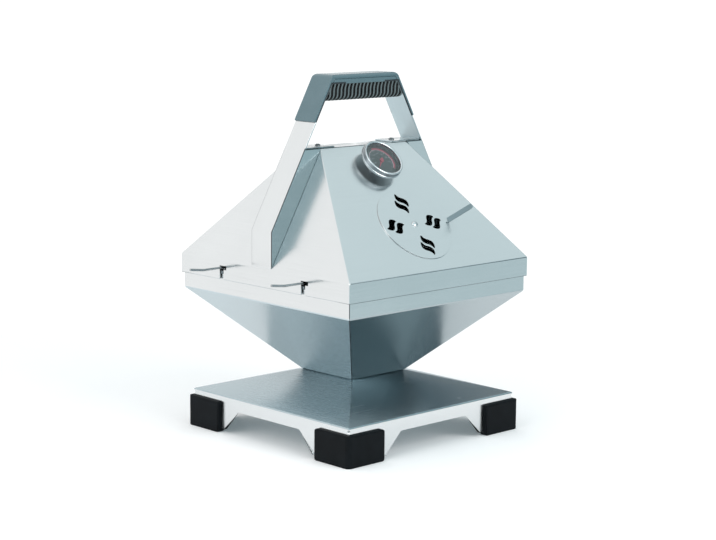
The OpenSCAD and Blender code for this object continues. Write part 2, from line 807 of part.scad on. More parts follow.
// A side sheet of the lid from height low to high, between the front and the rear sheets
module lid_side(side, low, high) {
    color(steel) mirror([side < 0 ? 1 : 0, 0, 0]) intersection() {
        difference() {
            past_x(0, 2 * lid_w) crossed(lid_outer_x, lid_inner_y, lid_w);
            drawn_along_y(lid_inner_x, 2 * lid_w);
            at_latches() latch_notch();
        }
        translate([-lid_w, -lid_w, low]) cube([2 * lid_w, 2 * lid_w, high - low]);
    }
}

// The side sheets end at the notches, and each strip of skirt between two notches is a plain bar
module lid_left() { lid_side(-1, notch_top, plateau_z); }
module lid_right() { lid_side(1, notch_top, plateau_z); }
module skirt_upper_left() { lid_side(-1, notch_step, notch_top); }
module skirt_upper_right() { lid_side(1, notch_step, notch_top); }
module skirt_lower_left() { lid_side(-1, lid_z, notch_step); }
module skirt_lower_right() { lid_side(1, lid_z, notch_step); }

module lid_stops() {
    inside = lid_w / 2 - lid_t;
    color(plain_steel) on_four_sides() translate([0, 0, rim_top]) linear_extrude(stop_t)
        polygon([[inside, inside], [inside - stop_leg, inside], [inside, inside - stop_leg]]);
}

// Handle arms, drawn for the right side
arm_web = [
    [lid_w / 2, lid_edge_z], [lid_w / 2, knee_z],
    [arm_x(flange_z), flange_z], [arm_x(flange_z) - flange_l, flange_z],
    [arm_x(flange_z) - flange_l, insert_top], [arm_inside(insert_top), insert_top],
    [lid_w / 2 - arm_t, knee_z - arm_t * tan(arm_lean / 2)], [lid_w / 2 - arm_t, lid_edge_z]
];
hood_side = [
    [lid_w / 2, lid_edge_z], [lid_w / 2, knee_z],
    [arm_x(plateau_z), plateau_z], [plateau_l / 2, plateau_z]
];

module handle_arm(side) {
    tab_start = plateau_l / 2 - tab_l;
    tab_end = arm_x(plateau_z + arm_t) - arm_t / 2;
    color(steel) mirror([side < 0 ? 1 : 0, 0, 0]) difference() {
        union() {
            rotate([90, 0, 0]) linear_extrude(arm_w, center = true) polygon(arm_web);
            for (edge = [-1, 1]) translate([0, edge * (arm_w - arm_t) / 2, 0])
                rotate([90, 0, 0]) linear_extrude(arm_t, center = true) polygon(hood_side);
            translate([tab_start, -plateau_d / 2, plateau_z]) cube([tab_end - tab_start, plateau_d, arm_t]);
        }
        lid_solid();
        for (at = [[tab_screw_x, 0, plateau_z], [grip_screw_x, 0, flange_z]])
            translate(at) cylinder(r = screw_d / 2 + screw_fit, h = 2 * cut_through, center = true);
    }
}

module handle_arm_left() { handle_arm(-1); }
module handle_arm_right() { handle_arm(1); }

module lid_screws() {
    length = arm_t + lid_t + small_nut_h + screw_tail;
    color(iron) for (side = [-1, 1]) translate([side * tab_screw_x, 0, plateau_z + arm_t])
        screw(screw_d, length, screw_head_d, screw_head_h);
}

module lid_nuts() {
    color(plain_steel) for (side = [-1, 1])
        translate([side * tab_screw_x, 0, plateau_z - lid_t - small_nut_h])
            hex_nut(small_nut_w, small_nut_h, screw_d + 2 * screw_fit);
}

// Grip
leg_z = flange_z - grip_drop;

// Half-width of the cover's outside at height z, taken in by inset
function grip_x(z, inset) = arm_x(z) + (grip_wall - inset) / cos(arm_lean);

// The cover's outline seen from the front, taken in by inset, with its legs drawn down to foot_z
function grip_outline(inset, foot_z, foot_r) = rounded(
    [[grip_x(foot_z, inset), foot_z], [grip_x(grip_top - inset, inset), grip_top - inset],
     [-grip_x(grip_top - inset, inset), grip_top - inset], [-grip_x(foot_z, inset), foot_z]],
    [foot_r, max(grip_corner_r - inset, 0), max(grip_corner_r - inset, 0), foot_r]);

// The outline between the arms, from foot_z up to the arms' folded ends
function between_arms(foot_z, foot_r) = rounded(
    [[arm_inside(foot_z), foot_z], [arm_inside(insert_top), insert_top],
     [-arm_inside(insert_top), insert_top], [-arm_inside(foot_z), foot_z]],
    [foot_r, 0, 0, foot_r]);

grip_section = rounded(
    [[grip_w / 2, leg_z - cut_through], [grip_w / 2, grip_top],
     [-grip_w / 2, grip_top], [-grip_w / 2, leg_z - cut_through]],
    [0, grip_edge_r, grip_edge_r, 0]);

// Children mirrored to both ends of the handle
module both_ends() {
    for (side = [0, 1]) mirror([side, 0, 0]) children();
}

module grip_cover() {
    color(plastic) difference() {
        crossed(grip_outline(0, leg_z, grip_end_r), grip_section, lid_w);
        rotate([90, 0, 0]) linear_extrude(2 * grip_w, center = true)
            polygon(between_arms(leg_z - cut_through, 0));
        both_ends() rotate([90, 0, 0]) linear_extrude(arm_w, center = true) polygon(arm_web);
        for (face = [-1, 1]) translate([0, face * grip_w / 2, 0]) rotate([90, 0, 0])
            linear_extrude(2 * seam_w, center = true) difference() {
                polygon(grip_outline(seam_in, leg_z - cut_through, 0));
                polygon(grip_outline(seam_in + seam_w, leg_z - 2 * cut_through, 0));
            }
        both_ends() translate([grip_screw_x, 0, insert_top])
            cylinder(r = screw_d / 2 + screw_fit, h = arm_t + grip_bite + screw_fit);
    }
}

// Ribbed insert
insert_z = insert_top - insert_h;

// The insert's section, taken in by inset on its sides and underneath
function insert_section(inset) = rounded(
    [[insert_w / 2 - inset, insert_top], [-insert_w / 2 + inset, insert_top],
     [-insert_w / 2 + inset, insert_z + inset], [insert_w / 2 - inset, insert_z + inset]],
    [0, 0, insert_r - inset, insert_r - inset]);

// Sideways place of a slanting, wavy rib at height z
function rib_wave(z) =
    let (share = (z - insert_z) / insert_h)
    rib_slant * (share - 0.5) + rib_sway * sin(360 * share);

// The outline of one groove, seen from the front
function groove_outline(x) =
    let (levels = [for (i = [-1 : rib_steps + 1]) insert_z + insert_h * i / rib_steps])
    concat(
        [for (z = levels) [x + rib_wave(z) + groove_w / 2, z]],
        [for (i = [len(levels) - 1 : -1 : 0]) [x + rib_wave(levels[i]) - groove_w / 2, levels[i]]]);

module insert_body(inset) {
    crossed(between_arms(insert_z, insert_r), insert_section(inset), lid_w);
}

module grip_insert() {
    run = 2 * (arm_inside(insert_z) - insert_r) - groove_w - rib_slant;
    count = floor(run / rib_pitch);
    color(dark_plastic) difference() {
        union() {
            insert_body(groove_depth);
            difference() {
                insert_body(0);
                for (i = [0 : count]) rotate([90, 0, 0]) linear_extrude(2 * insert_w, center = true)
                    polygon(groove_outline((i - count / 2) * rib_pitch));
            }
        }
        both_ends() translate([grip_screw_x, 0, insert_z - cut_through]) {
            cylinder(r = screw_d / 2 + screw_fit, h = insert_h + 2 * cut_through);
            cylinder(r = screw_head_d / 2 + screw_fit, h = cut_through + grip_recess);
        }
    }
}

module grip_screws() {
    length = insert_h - grip_recess + arm_t + grip_bite;
    color(plain_steel) both_ends() translate([grip_screw_x, 0, insert_z + grip_recess]) mirror([0, 0, 1])
        screw(screw_d, length, screw_head_d, screw_head_h);
}

// Thermometer
module gauge_stem() {
    neck_l = lid_t + gauge_nut_h + neck_tail;
    color(plain_steel) on_front(gauge_up) difference() {
        union() {
            cylinder(d = boss_d, h = boss_h);
            translate([0, 0, -neck_l]) cylinder(d = neck_d, h = neck_l);
            translate([0, 0, -neck_l - probe_l]) cylinder(d = probe_d, h = probe_l);
        }
        translate([0, 0, boss_h - spindle_l - hub_gap])
            cylinder(r = spindle_d / 2 + pin_fit, h = spindle_l + cut_through);
    }
}

module gauge_nut() {
    color(plain_steel) on_front(gauge_up) translate([0, 0, -lid_t - gauge_nut_h])
        hex_nut(gauge_nut_w, gauge_nut_h, neck_d + 2 * screw_fit);
}

module gauge_case() {
    color(bright) on_front(gauge_up) translate([0, 0, case_back]) difference() {
        cylinder(d = case_d, h = case_h);
        translate([0, 0, case_t]) cylinder(d = case_d - 2 * case_t, h = case_h);
        translate([0, 0, -cut_through]) cylinder(r = spindle_d / 2 + pin_fit, h = 2 * cut_through);
    }
}

module gauge_dial() {
    color(iron) on_front(gauge_up) translate([0, 0, dial_z]) difference() {
        cylinder(r = case_d / 2 - case_t - gauge_fit, h = dial_t);
        translate([0, 0, -cut_through]) cylinder(r = spindle_d / 2 + pin_fit, h = 2 * cut_through);
    }
}

module gauge_pointer() {
    color("firebrick") on_front(gauge_up) rotate([0, 0, pointer_rest]) {
        translate([0, 0, case_back - spindle_l]) cylinder(d = spindle_d, h = hub_z - case_back + spindle_l);
        translate([0, 0, hub_z]) cylinder(d = hub_d, h = hub_h);
        translate([0, 0, hub_z]) linear_extrude(pointer_t) polygon([
            [pointer_l, 0], [0, pointer_w / 2], [-pointer_tail, pointer_w / 2],
            [-pointer_tail, -pointer_w / 2], [0, -pointer_w / 2]
        ]);
    }
}

module gauge_lens() {
    color("lightblue", 0.4) on_front(gauge_up) translate([0, 0, lens_z]) cylinder(d = case_d, h = lens_t);
}

module gauge_bezel() {
    color(bright) on_front(gauge_up) difference() {
        translate([0, 0, lens_z - bezel_skirt]) cylinder(d = gauge_d, h = bezel_skirt + lens_t + bezel_t);
        translate([0, 0, lens_z - bezel_skirt - cut_through])
            cylinder(r = case_d / 2 + gauge_fit, h = bezel_skirt + lens_t + cut_through);
        cylinder(d = sight_d, h = bezel_front + cut_through);
    }
}

// Damper
// Half of a hooked slot's outline, in shares of its width and length; the rest is its half turn
slot_half = [[-0.35, 0.5], [-0.27, 0.345], [-0.015, 0.18], [0.3, 0.07], [0.49, -0.07], [0.5, -0.26]];
slot_step = slot_pitch / 2 * [sin(slot_lean), cos(slot_lean)];

// A point of a slot from its shares
function slot_at(share) = [share[0] * slot_w, share[1] * slot_l];

// A point at share t of a smooth curve from b to c, between a and d
function curve_point(a, b, c, d, t) =
    b + ((c - a) * t + (2 * a - 5 * b + 4 * c - d) * pow(t, 2) + (3 * b - a - 3 * c + d) * pow(t, 3)) / 2;

// A closed smooth curve through points
function curve_through(points, steps) =
    let (n = len(points))
    [for (i = [0 : n - 1], k = [0 : steps - 1])
        curve_point(points[(i + n - 1) % n], points[i], points[(i + 1) % n], points[(i + 2) % n], k / steps)];

// The outline of one hooked slot round its own middle
slot_outline = let (half = [for (share = slot_half) slot_at(share)])
    curve_through(concat(half, -half), slot_steps);

// The finger lever: a strip that starts on the disc and is bent up past its edge
lever_root = damper_d / 2 - lever_w;
lever_tip = [lever_start + lever_l * cos(lever_rise), lever_l * sin(lever_rise)];
lever_side = [
    [lever_root, 0], [lever_start, 0], lever_tip,
    lever_tip + damper_t * [-sin(lever_rise), cos(lever_rise)],
    [lever_start - fold_in(damper_t, lever_rise), damper_t], [lever_root, damper_t]
];
lever_plan = rounded(
    [[lever_root, -lever_w / 2], [lever_tip[0], -lever_w / 2],
     [lever_tip[0], lever_w / 2], [lever_root, lever_w / 2]],
    [0, lever_round * lever_w, lever_round * lever_w, 0]);

module damper_disc() {
    color(steel) on_front(damper_up) translate([0, 0, damper_gap]) {
        linear_extrude(damper_t) difference() {
            circle(d = damper_d);
            circle(r = rivet_d / 2 + rivet_fit);
            on_four_sides() for (row = [-1, 1])
                translate([0, slot_ring] + row * slot_step) polygon(slot_outline);
        }
        intersection() {
            rotate([90, 0, 0]) linear_extrude(2 * lever_w, center = true) polygon(lever_side);
            translate([0, 0, -cut_through]) linear_extrude(2 * lever_l + cut_through) polygon(lever_plan);
        }
    }
}

module damper_rivet() {
    head_z = 2 * damper_gap + damper_t;
    tail_z = -lid_t - washer_t;
    color(bright) on_front(damper_up) {
        translate([0, 0, head_z]) cylinder(d = rivet_head_d, h = rivet_head_h);
        translate([0, 0, tail_z]) cylinder(d = rivet_d, h = head_z - tail_z);
        translate([0, 0, tail_z - rivet_head_h]) cylinder(d = rivet_head_d, h = rivet_head_h);
    }
}

module damper_washer() {
    color(plain_steel) on_front(damper_up) translate([0, 0, -lid_t - washer_t]) difference() {
        cylinder(d = washer_d, h = washer_t);
        translate([0, 0, -cut_through]) cylinder(r = rivet_d / 2 + screw_fit, h = washer_t + 2 * cut_through);
    }
}

base_shell();
foot_front_left();
foot_front_right();
foot_rear_left();
foot_rear_right();
bowl_floor();
bowl_front();
bowl_rear();
bowl_left();
bowl_right();
waist_bolts();
waist_nuts();
latch_lugs();
latch_lever_front_left();
latch_lever_front_right();
latch_lever_rear_left();
latch_lever_rear_right();
ash_pan();
charcoal_grate();
cooking_grate();
lid_top();
lid_front();
lid_rear();
lid_left();
lid_right();
skirt_upper_left();
skirt_upper_right();
skirt_lower_left();
skirt_lower_right();
lid_stops();
handle_arm_left();
handle_arm_right();
lid_screws();
lid_nuts();
grip_cover();
grip_insert();
grip_screws();
gauge_stem();
gauge_nut();
gauge_case();
gauge_dial();
gauge_pointer();
gauge_lens();
gauge_bezel();
damper_disc();
damper_rivet();
damper_washer();
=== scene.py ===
"""Looks of the tabletop charcoal grill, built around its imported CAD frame.

Everything is in metres and in the CAD frame: X runs along the grip, the thermometer and the damper
face -Y, and Z points up from the table.
"""

from __future__ import annotations

import json
import logging
import math
from collections.abc import Callable, Sequence
from dataclasses import dataclass
from enum import Enum
from functools import cache
from itertools import product
from typing import Any, ClassVar, Union

import bmesh
import bpy
from mathutils import Matrix, Vector

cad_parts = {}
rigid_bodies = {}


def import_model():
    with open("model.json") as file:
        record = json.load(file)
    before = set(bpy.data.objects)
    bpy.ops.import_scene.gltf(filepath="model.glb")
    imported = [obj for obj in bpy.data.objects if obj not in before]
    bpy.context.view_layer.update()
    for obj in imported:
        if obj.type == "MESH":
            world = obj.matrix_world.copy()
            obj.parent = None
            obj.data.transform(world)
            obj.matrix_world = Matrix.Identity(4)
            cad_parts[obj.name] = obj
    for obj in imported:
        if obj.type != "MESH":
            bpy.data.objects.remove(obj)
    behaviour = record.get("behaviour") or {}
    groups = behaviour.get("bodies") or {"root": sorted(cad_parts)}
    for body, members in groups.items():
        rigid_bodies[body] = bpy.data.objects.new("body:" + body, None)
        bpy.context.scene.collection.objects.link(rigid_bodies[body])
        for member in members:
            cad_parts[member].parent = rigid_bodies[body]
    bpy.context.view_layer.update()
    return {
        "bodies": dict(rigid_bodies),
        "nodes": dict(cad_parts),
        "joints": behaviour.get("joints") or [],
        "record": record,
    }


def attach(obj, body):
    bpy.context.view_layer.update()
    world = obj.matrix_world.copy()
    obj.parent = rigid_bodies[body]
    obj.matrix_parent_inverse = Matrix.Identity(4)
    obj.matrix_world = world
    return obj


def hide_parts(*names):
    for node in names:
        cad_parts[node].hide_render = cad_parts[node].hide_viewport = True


LOG = logging.getLogger("grill")
MM = 0.001
IMAGE_WIDTH = 716
# Points that lie closer than this are one point.
WELD = 2e-6
# An edge that turns more than this many degrees is an edge, and not part of a curve.
SHARP = 33.0
# The same on turned and ribbed pieces, whose curves have coarser steps.
SHARP_TURNED = 50.0
# Degrees of a printed arc in one straight step.
ARC_STEP = 3

Mesh = bmesh.types.BMesh
Edge = bmesh.types.BMEdge
Vert = bmesh.types.BMVert
Face = bpy.types.MeshPolygon
Piece = bpy.types.Object
Colour = tuple[float, float, float]
Number = Union[float, "Term"]
Point = tuple[float, float]
Place = tuple[float, float, float]
Row = list[Vert]
Chosen = Callable[[Face], bool]
Reshape = Callable[[Mesh], None]


class Side(Enum):
    """The left or the right half of the grill."""

    LEFT = -1
    RIGHT = 1


class Grain(Enum):
    """The way the brushing runs over a sheet."""

    LEVEL = "level"
    UP_THE_ARM = "up the arm"


class Solver(Enum):
    """The ways in which Blender cuts one mesh out of another."""

    FAST = "FAST"
    EXACT = "EXACT"


class Term:
    """A value that changes over a surface; Python's operators on it add Math nodes."""

    def __init__(self, recipe: Recipe, socket: bpy.types.NodeSocket) -> None:
        """Keeps the socket and the recipe that it belongs to."""
        self.recipe = recipe
        self.socket = socket

    def _math(self, operation: str, first: Number, second: Number = 0.0) -> Term:
        """One Math node on two values."""
        return self.recipe.node("ShaderNodeMath", {"operation": operation}, {0: first, 1: second})

    def __add__(self, other: Number) -> Term:
        """self + other."""
        return self._math("ADD", self, other)

    def __radd__(self, other: Number) -> Term:
        """other + self."""
        return self._math("ADD", other, self)

    def __sub__(self, other: Number) -> Term:
        """self - other."""
        return self._math("SUBTRACT", self, other)

    def __rsub__(self, other: Number) -> Term:
        """other - self."""
        return self._math("SUBTRACT", other, self)

    def __mul__(self, other: Number) -> Term:
        """self * other."""
        return self._math("MULTIPLY", self, other)

    def __rmul__(self, other: Number) -> Term:
        """other * self."""
        return self._math("MULTIPLY", other, self)

    def __abs__(self) -> Term:
        """The size of the value without its sign."""
        return self._math("ABSOLUTE", self)

    def over(self, other: Number) -> Term:
        """1 where the value is larger than other, else 0."""
        return self._math("GREATER_THAN", self, other)

    def most(self, other: Number) -> Term:
        """The larger of the two values."""
        return self._math("MAXIMUM", self, other)

    def swing(self, amount: float) -> Term:
        """The value's swing round one half, times amount."""
        return (self - 0.5) * amount

    def eased(self, low: float, high: float) -> Term:
        """0 below low, 1 above high, and a smooth step between.

        Args:
            low: Where the step starts.
            high: Where the step ends.

        Returns:
            The stepped value.
        """
        settings = {"interpolation_type": "SMOOTHSTEP"}
        return self.recipe.node("ShaderNodeMapRange", settings, {0: self, 1: low, 2: high})


class Recipe:
    """The node tree of one material or of the world."""

    def __init__(self, tree: bpy.types.NodeTree) -> None:
        """Empties the tree."""
        self.tree = tree
        tree.nodes.clear()

    def node(
        self,
        kind: str,
        settings: dict[str, Any] | None = None,
        inputs: dict[str | int, Any] | None = None,
        output: str | int = 0,
    ) -> Term:
        """Adds a node, sets it up and links it.

        Args:
            kind: The node's type.
            settings: The node's own properties, which are set first.
            inputs: Values or terms for its sockets, by name, identifier or number.
            output: The name or number of the output to return.

        Returns:
            That output as a term.
        """
        made = self.tree.nodes.new(kind)
        for key, value in (settings or {}).items():
            setattr(made, key, value)
        for key, value in (inputs or {}).items():
            named = [s for s in made.inputs if s.identifier == key]
            socket = named[0] if named else made.inputs[key]
            if isinstance(value, Term):
                self.tree.links.new(value.socket, socket)
            elif socket.type == "RGBA":
                socket.default_value = (*value, 1.0)
            else:
                socket.default_value = value
        return Term(self, made.outputs[output])

    def place(self, kind: str = "Object") -> Term:
        """A point's place, by one of the Texture Coordinate node's outputs."""
        return self.node("ShaderNodeTexCoord", output=kind)

    def part(self, vector: Term, axis: str) -> Term:
        """One of a vector's parts, X, Y or Z."""
        return self.node("ShaderNodeSeparateXYZ", inputs={0: vector}, output=axis)

    def noise(self, scale: float | Place, detail: float = 2.0, rough: float = 0.5) -> Term:
        """Noise over the object's own coordinates.

        Args:
            scale: Features per metre, one number or one each along X, Y and Z.
            detail: Octaves.
            rough: Strength of the finer octaves.

        Returns:
            The noise, from 0 to 1 round 0.5.
        """
        scales = scale if isinstance(scale, tuple) else (scale, scale, scale)
        spread = self.node("ShaderNodeMapping", inputs={"Vector": self.place(), "Scale": scales})
        inputs = {"Vector": spread, "Scale": 1.0, "Detail": detail, "Roughness": rough}
        return self.node("ShaderNodeTexNoise", inputs=inputs)

    def mix(self, share: Number, first: Any, second: Any) -> Term:
        """Goes from the first colour to the second by share."""
        settings = {"data_type": "RGBA"}
        inputs = {"Factor_Float": share, "A_Color": first, "B_Color": second}
        return self.node("ShaderNodeMix", settings, inputs, output=2)

    def bump(self, height: Term, depth: float, strength: float) -> Term:
        """A surface normal that follows height, which is depth metres deep."""
        inputs = {"Height": height, "Distance": depth, "Strength": strength}
        return self.node("ShaderNodeBump", inputs=inputs)

    def principled(self, **inputs: Any) -> Term:
        """The usual surface shader; an underscore in a name stands for a space."""
        named = {key.replace("_", " "): value for key, value in inputs.items()}
        return self.node("ShaderNodeBsdfPrincipled", inputs=named)

    def finish(self, shader: Term) -> None:
        """Links the shader to the tree's output."""
        world = any(n.bl_idname == "ShaderNodeBackground" for n in self.tree.nodes)
        kind = "ShaderNodeOutputWorld" if world else "ShaderNodeOutputMaterial"
        output = self.tree.nodes.new(kind)
        self.tree.links.new(shader.socket, output.inputs["Surface"])


@dataclass(frozen=True)
class Finish:
    """A surface that can be laid on any piece."""

    name: str

    def shade(self, recipe: Recipe) -> Term:
        """Builds the nodes and returns the shader."""
        raise NotImplementedError

    @cache
    def material(self) -> bpy.types.Material:
        """The finish as a Blender material, made once."""
        made = bpy.data.materials.new(self.name)
        made.use_nodes = True
        recipe = Recipe(made.node_tree)
        recipe.finish(self.shade(recipe))
        return made


@dataclass(frozen=True)
class BrushedSteel(Finish):
    """Fine brushed stainless sheet."""

    pale: Colour = (0.76, 0.775, 0.78)
    dark: Colour = (0.67, 0.685, 0.69)
    rough: float = 0.2
    stretch: float = 0.7
    grain: Grain = Grain.LEVEL

    ALONG: ClassVar[float] = 9.0
    ACROSS: ClassVar[float] = 1500.0
    SCRATCH: ClassVar[float] = 0.02 * MM

    def shade(self, recipe: Recipe) -> Term:
        """Streaks that follow the sheet, under faint clouds."""
        if self.grain is Grain.LEVEL:
            facing = recipe.place("Normal")
            on_side = abs(recipe.part(facing, "X")).over(abs(recipe.part(facing, "Y")))
            along_x = recipe.noise((self.ALONG, self.ACROSS, self.ACROSS), detail=3.0)
            along_y = recipe.noise((self.ACROSS, self.ALONG, self.ACROSS), detail=3.0)
            streak = along_x + (along_y - along_x) * on_side
        else:
            streak = recipe.noise((self.ALONG, self.ACROSS, self.ALONG), detail=3.0)
        cloud = recipe.noise(14.0, detail=3.0, rough=0.6)
        tone = 0.5 + streak.swing(0.9) + cloud.swing(0.5)
        return recipe.principled(
            Base_Color=recipe.mix(tone, self.dark, self.pale),
            Metallic=1.0,
            Roughness=self.rough + streak.swing(0.08) + cloud.swing(0.06),
            Anisotropic=self.stretch,
            Normal=recipe.bump(streak, self.SCRATCH, strength=0.18),
        )


@dataclass(frozen=True)
class PlainMetal(Finish):
    """Turned, drawn or plated metal with a faint mottle."""

    pale: Colour = (0.62, 0.64, 0.66)
    dark: Colour = (0.40, 0.42, 0.44)
    rough: float = 0.34
    speckle: float = 260.0

    def shade(self, recipe: Recipe) -> Term:
        """A mottle in the colour, the gloss and the surface."""
        mottle = recipe.noise(self.speckle, detail=4.0, rough=0.6)
        cloud = recipe.noise(40.0)
        tone = mottle * 0.6 + cloud * 0.4
        return recipe.principled(
            Base_Color=recipe.mix(tone.eased(0.25, 0.75), self.dark, self.pale),
            Metallic=1.0,
            Roughness=self.rough + mottle.swing(0.16),
            Normal=recipe.bump(mottle, 0.03 * MM, strength=0.4),
        )


@dataclass(frozen=True)
class Moulding(Finish):
    """Moulded plastic or rubber with a fine spark-eroded grain."""

    colour: Colour
    worn: Colour
    rough: float
    grain: float
    depth: float = 0.05 * MM
    gloss: float = 0.5

    def shade(self, recipe: Recipe) -> Term:
        """Grain in the surface, and a faint cloud in the colour."""
        grain = recipe.noise(self.grain, rough=0.6)
        cloud = recipe.noise(32.0, detail=3.0, rough=0.6)
        tone = (grain * 0.45 + cloud * 0.55).eased(0.3, 0.7)
        return recipe.principled(
            Base_Color=recipe.mix(tone, self.colour, self.worn),
            Roughness=self.rough + cloud.swing(0.12) + grain.swing(0.1),
            Specular_IOR_Level=self.gloss,
            Normal=recipe.bump(grain, self.depth, strength=0.6),
        )


@dataclass(frozen=True)
class RibRubber(Finish):
    """The ribbed insert: pale crests with a painted highlight over near-black grooves with painted shade."""

    crest_highlight: Colour = (0.12, 0.15, 0.155)
    groove: Colour = (0.002, 0.0025, 0.003)
    rough: float = 0.5

    def shade(self, recipe: Recipe) -> Term:
        """Painted highlight and shade by the depth that the mesh carries, under a fine grain."""
        settings = {"attribute_name": RibbedInsert.DEPTH}
        depth = recipe.node("ShaderNodeAttribute", settings, output="Fac")
        grain = recipe.noise(1600.0)
        # Painted highlight on the crests, painted shade in the grooves.
        tone = depth.eased(0.0, 0.12) + grain.swing(0.1)
        return recipe.principled(
            Base_Color=recipe.mix(tone, self.crest_highlight, self.groove),
            Roughness=self.rough + grain.swing(0.14),
            Normal=recipe.bump(grain, 0.04 * MM, strength=0.5),
        )


@dataclass(frozen=True)
class HeatedRods(Finish):
    """Rods that the fire has blued and browned."""

    blue: Colour = (0.055, 0.058, 0.066)
    brown: Colour = (0.11, 0.078, 0.058)
    ash: Colour = (0.15, 0.148, 0.145)
    rough: float = 0.48

    def shade(self, recipe: Recipe) -> Term:
        """Dark oxide with brown and blue patches."""
        patch = recipe.noise((22.0, 22.0, 60.0), detail=4.0, rough=0.65)
        scale = recipe.noise(420.0, detail=3.0, rough=0.6)
        oxide = recipe.mix(patch.eased(0.4, 0.6), self.blue, self.brown)
        return recipe.principled(
            Base_Color=recipe.mix(scale.eased(0.5, 0.75), oxide, self.ash),
            Metallic=0.75,
            Roughness=self.rough + scale.swing(0.3),
            Normal=recipe.bump(scale, 0.08 * MM, strength=0.7),
        )


@dataclass(frozen=True)
class Paint(Finish):
    """A thin printed or sprayed coat."""

    colour: Colour
    fleck: Colour
    rough: float

    def shade(self, recipe: Recipe) -> Term:
        """A coat with a faint uneven tone."""
        fleck = recipe.noise(900.0, detail=3.0, rough=0.6)
        return recipe.principled(
            Base_Color=recipe.mix(fleck, self.colour, self.fleck),
            Roughness=self.rough + fleck.swing(0.12),
            Normal=recipe.bump(fleck, 0.01 * MM, strength=0.4),
        )


@dataclass(frozen=True)
class WindowGlass(Finish):
    """The thermometer's clear window."""

    tint: Colour = (0.94, 0.98, 0.98)
    clear: Colour = (0.98, 1.0, 1.0)
    rough: float = 0.02

    def shade(self, recipe: Recipe) -> Term:
        """Glass with a trace of dust in its gloss."""
        dust = recipe.noise(90.0, detail=4.0, rough=0.6)
        return recipe.principled(
            Base_Color=recipe.mix(dust, self.tint, self.clear),
            Roughness=self.rough + dust.eased(0.5, 0.8) * 0.05,
            Transmission_Weight=1.0,
            IOR=1.46,
            Specular_IOR_Level=0.15,
        )


@dataclass(frozen=True)
class StudioFloor(Finish):
    """The pale table that the grill stands on, faintly lit from below."""

    colour: Colour = (0.95, 0.90, 0.89)
    pale: Colour = (0.97, 0.92, 0.91)
    glow: Colour = (0.78, 0.95, 1.0)
    lift: float = 0.13

    def shade(self, recipe: Recipe) -> Term:
        """Matt white with a faint fibre."""
        fibre = recipe.noise(40.0)
        return recipe.principled(
            Base_Color=recipe.mix(fibre, self.colour, self.pale),
            Roughness=0.9,
            Specular_IOR_Level=0.0,
            Emission_Color=self.glow,
            Emission_Strength=self.lift,
        )


SHEET = BrushedSteel("lid_steel_brushed")
# Painted shade: the bowl's sheet, darker than the lid's, on the bowl's sloping sides and floor.
BOWL_SHEET = BrushedSteel("bowl_steel_brushed", (0.60, 0.68, 0.71), (0.52, 0.59, 0.62), 0.14)
# Painted shade: a darker sheet on the base's top and folds, and as a line along the lid's lower edge.
BASE_SHEET = BrushedSteel("base_steel_brushed", (0.47, 0.55, 0.58), (0.41, 0.48, 0.51), 0.27)
# Painted shade: a darker copy of the bowl's sheet for its faces that look to the front or the rear.
BOWL_ACROSS_SHADE = BrushedSteel("bowl_steel_painted_shade_across", (0.44, 0.50, 0.52), (0.385, 0.43, 0.45), 0.14)
# Painted shade: a darker copy of the base's sheet for its faces that look to the front or the rear.
BASE_ACROSS_SHADE = BrushedSteel("base_steel_painted_shade_across", (0.44, 0.51, 0.54), (0.38, 0.45, 0.475), 0.25)
# Painted shade: a dark copy of the sheet, on the damper's lever and in the hoods' creases.
SHADE_SHEET = BrushedSteel("steel_painted_shade_dark", (0.21, 0.27, 0.29), (0.17, 0.22, 0.24), 0.34, 0.5)
ARM_SHEET = BrushedSteel("arm_steel_brushed", grain=Grain.UP_THE_ARM)
# Painted shade on the left hood's cheeks.
CHEEK_SHADE = BrushedSteel("cheek_steel_painted_shade", (0.52, 0.60, 0.62), (0.46, 0.53, 0.55))
# Near-black: a dark joint down the bowl's corner seams, and painted shade on the hoods' outer creases and
# above the grip cover.
SEAM_AND_SHADE = PlainMetal("seam_and_painted_shade_dark", (0.08, 0.09, 0.10), (0.05, 0.055, 0.06), 0.5)
# Painted shade on the arms' faces that look towards the lid's middle.
ARM_INSIDE_SHADE = BrushedSteel(
    "arm_steel_painted_shade_inside", (0.55, 0.64, 0.67), (0.48, 0.57, 0.60), 0.3, 0.4, Grain.UP_THE_ARM
)
BRIGHT = PlainMetal("steel_bright", (0.80, 0.82, 0.83), (0.68, 0.71, 0.72), 0.2, 500.0)
WIRE = PlainMetal("wire_steel", (0.46, 0.48, 0.49), (0.34, 0.36, 0.37), 0.16, 500.0)
PLAIN = PlainMetal("steel_zinc_plated")
CASE = PlainMetal("case_steel_dull", (0.70, 0.74, 0.76), (0.58, 0.62, 0.64), 0.4)
# Painted shade on the bezel's outer wall.
BEZEL_WALL_SHADE = PlainMetal("bezel_wall_painted_shade", (0.34, 0.37, 0.39), (0.24, 0.27, 0.29), 0.35)
RODS = HeatedRods("rods_heated")
BLACK_SCREW = PlainMetal("screw_oxide", (0.26, 0.28, 0.29), (0.14, 0.15, 0.16), 0.4)
RUBBER = Moulding("rubber_matt", (0.004, 0.005, 0.006), (0.008, 0.010, 0.012), 0.5, 1500.0, gloss=0.06)
PLASTIC = Moulding("plastic_satin", (0.089, 0.149, 0.170), (0.110, 0.174, 0.197), 0.2, 1900.0)
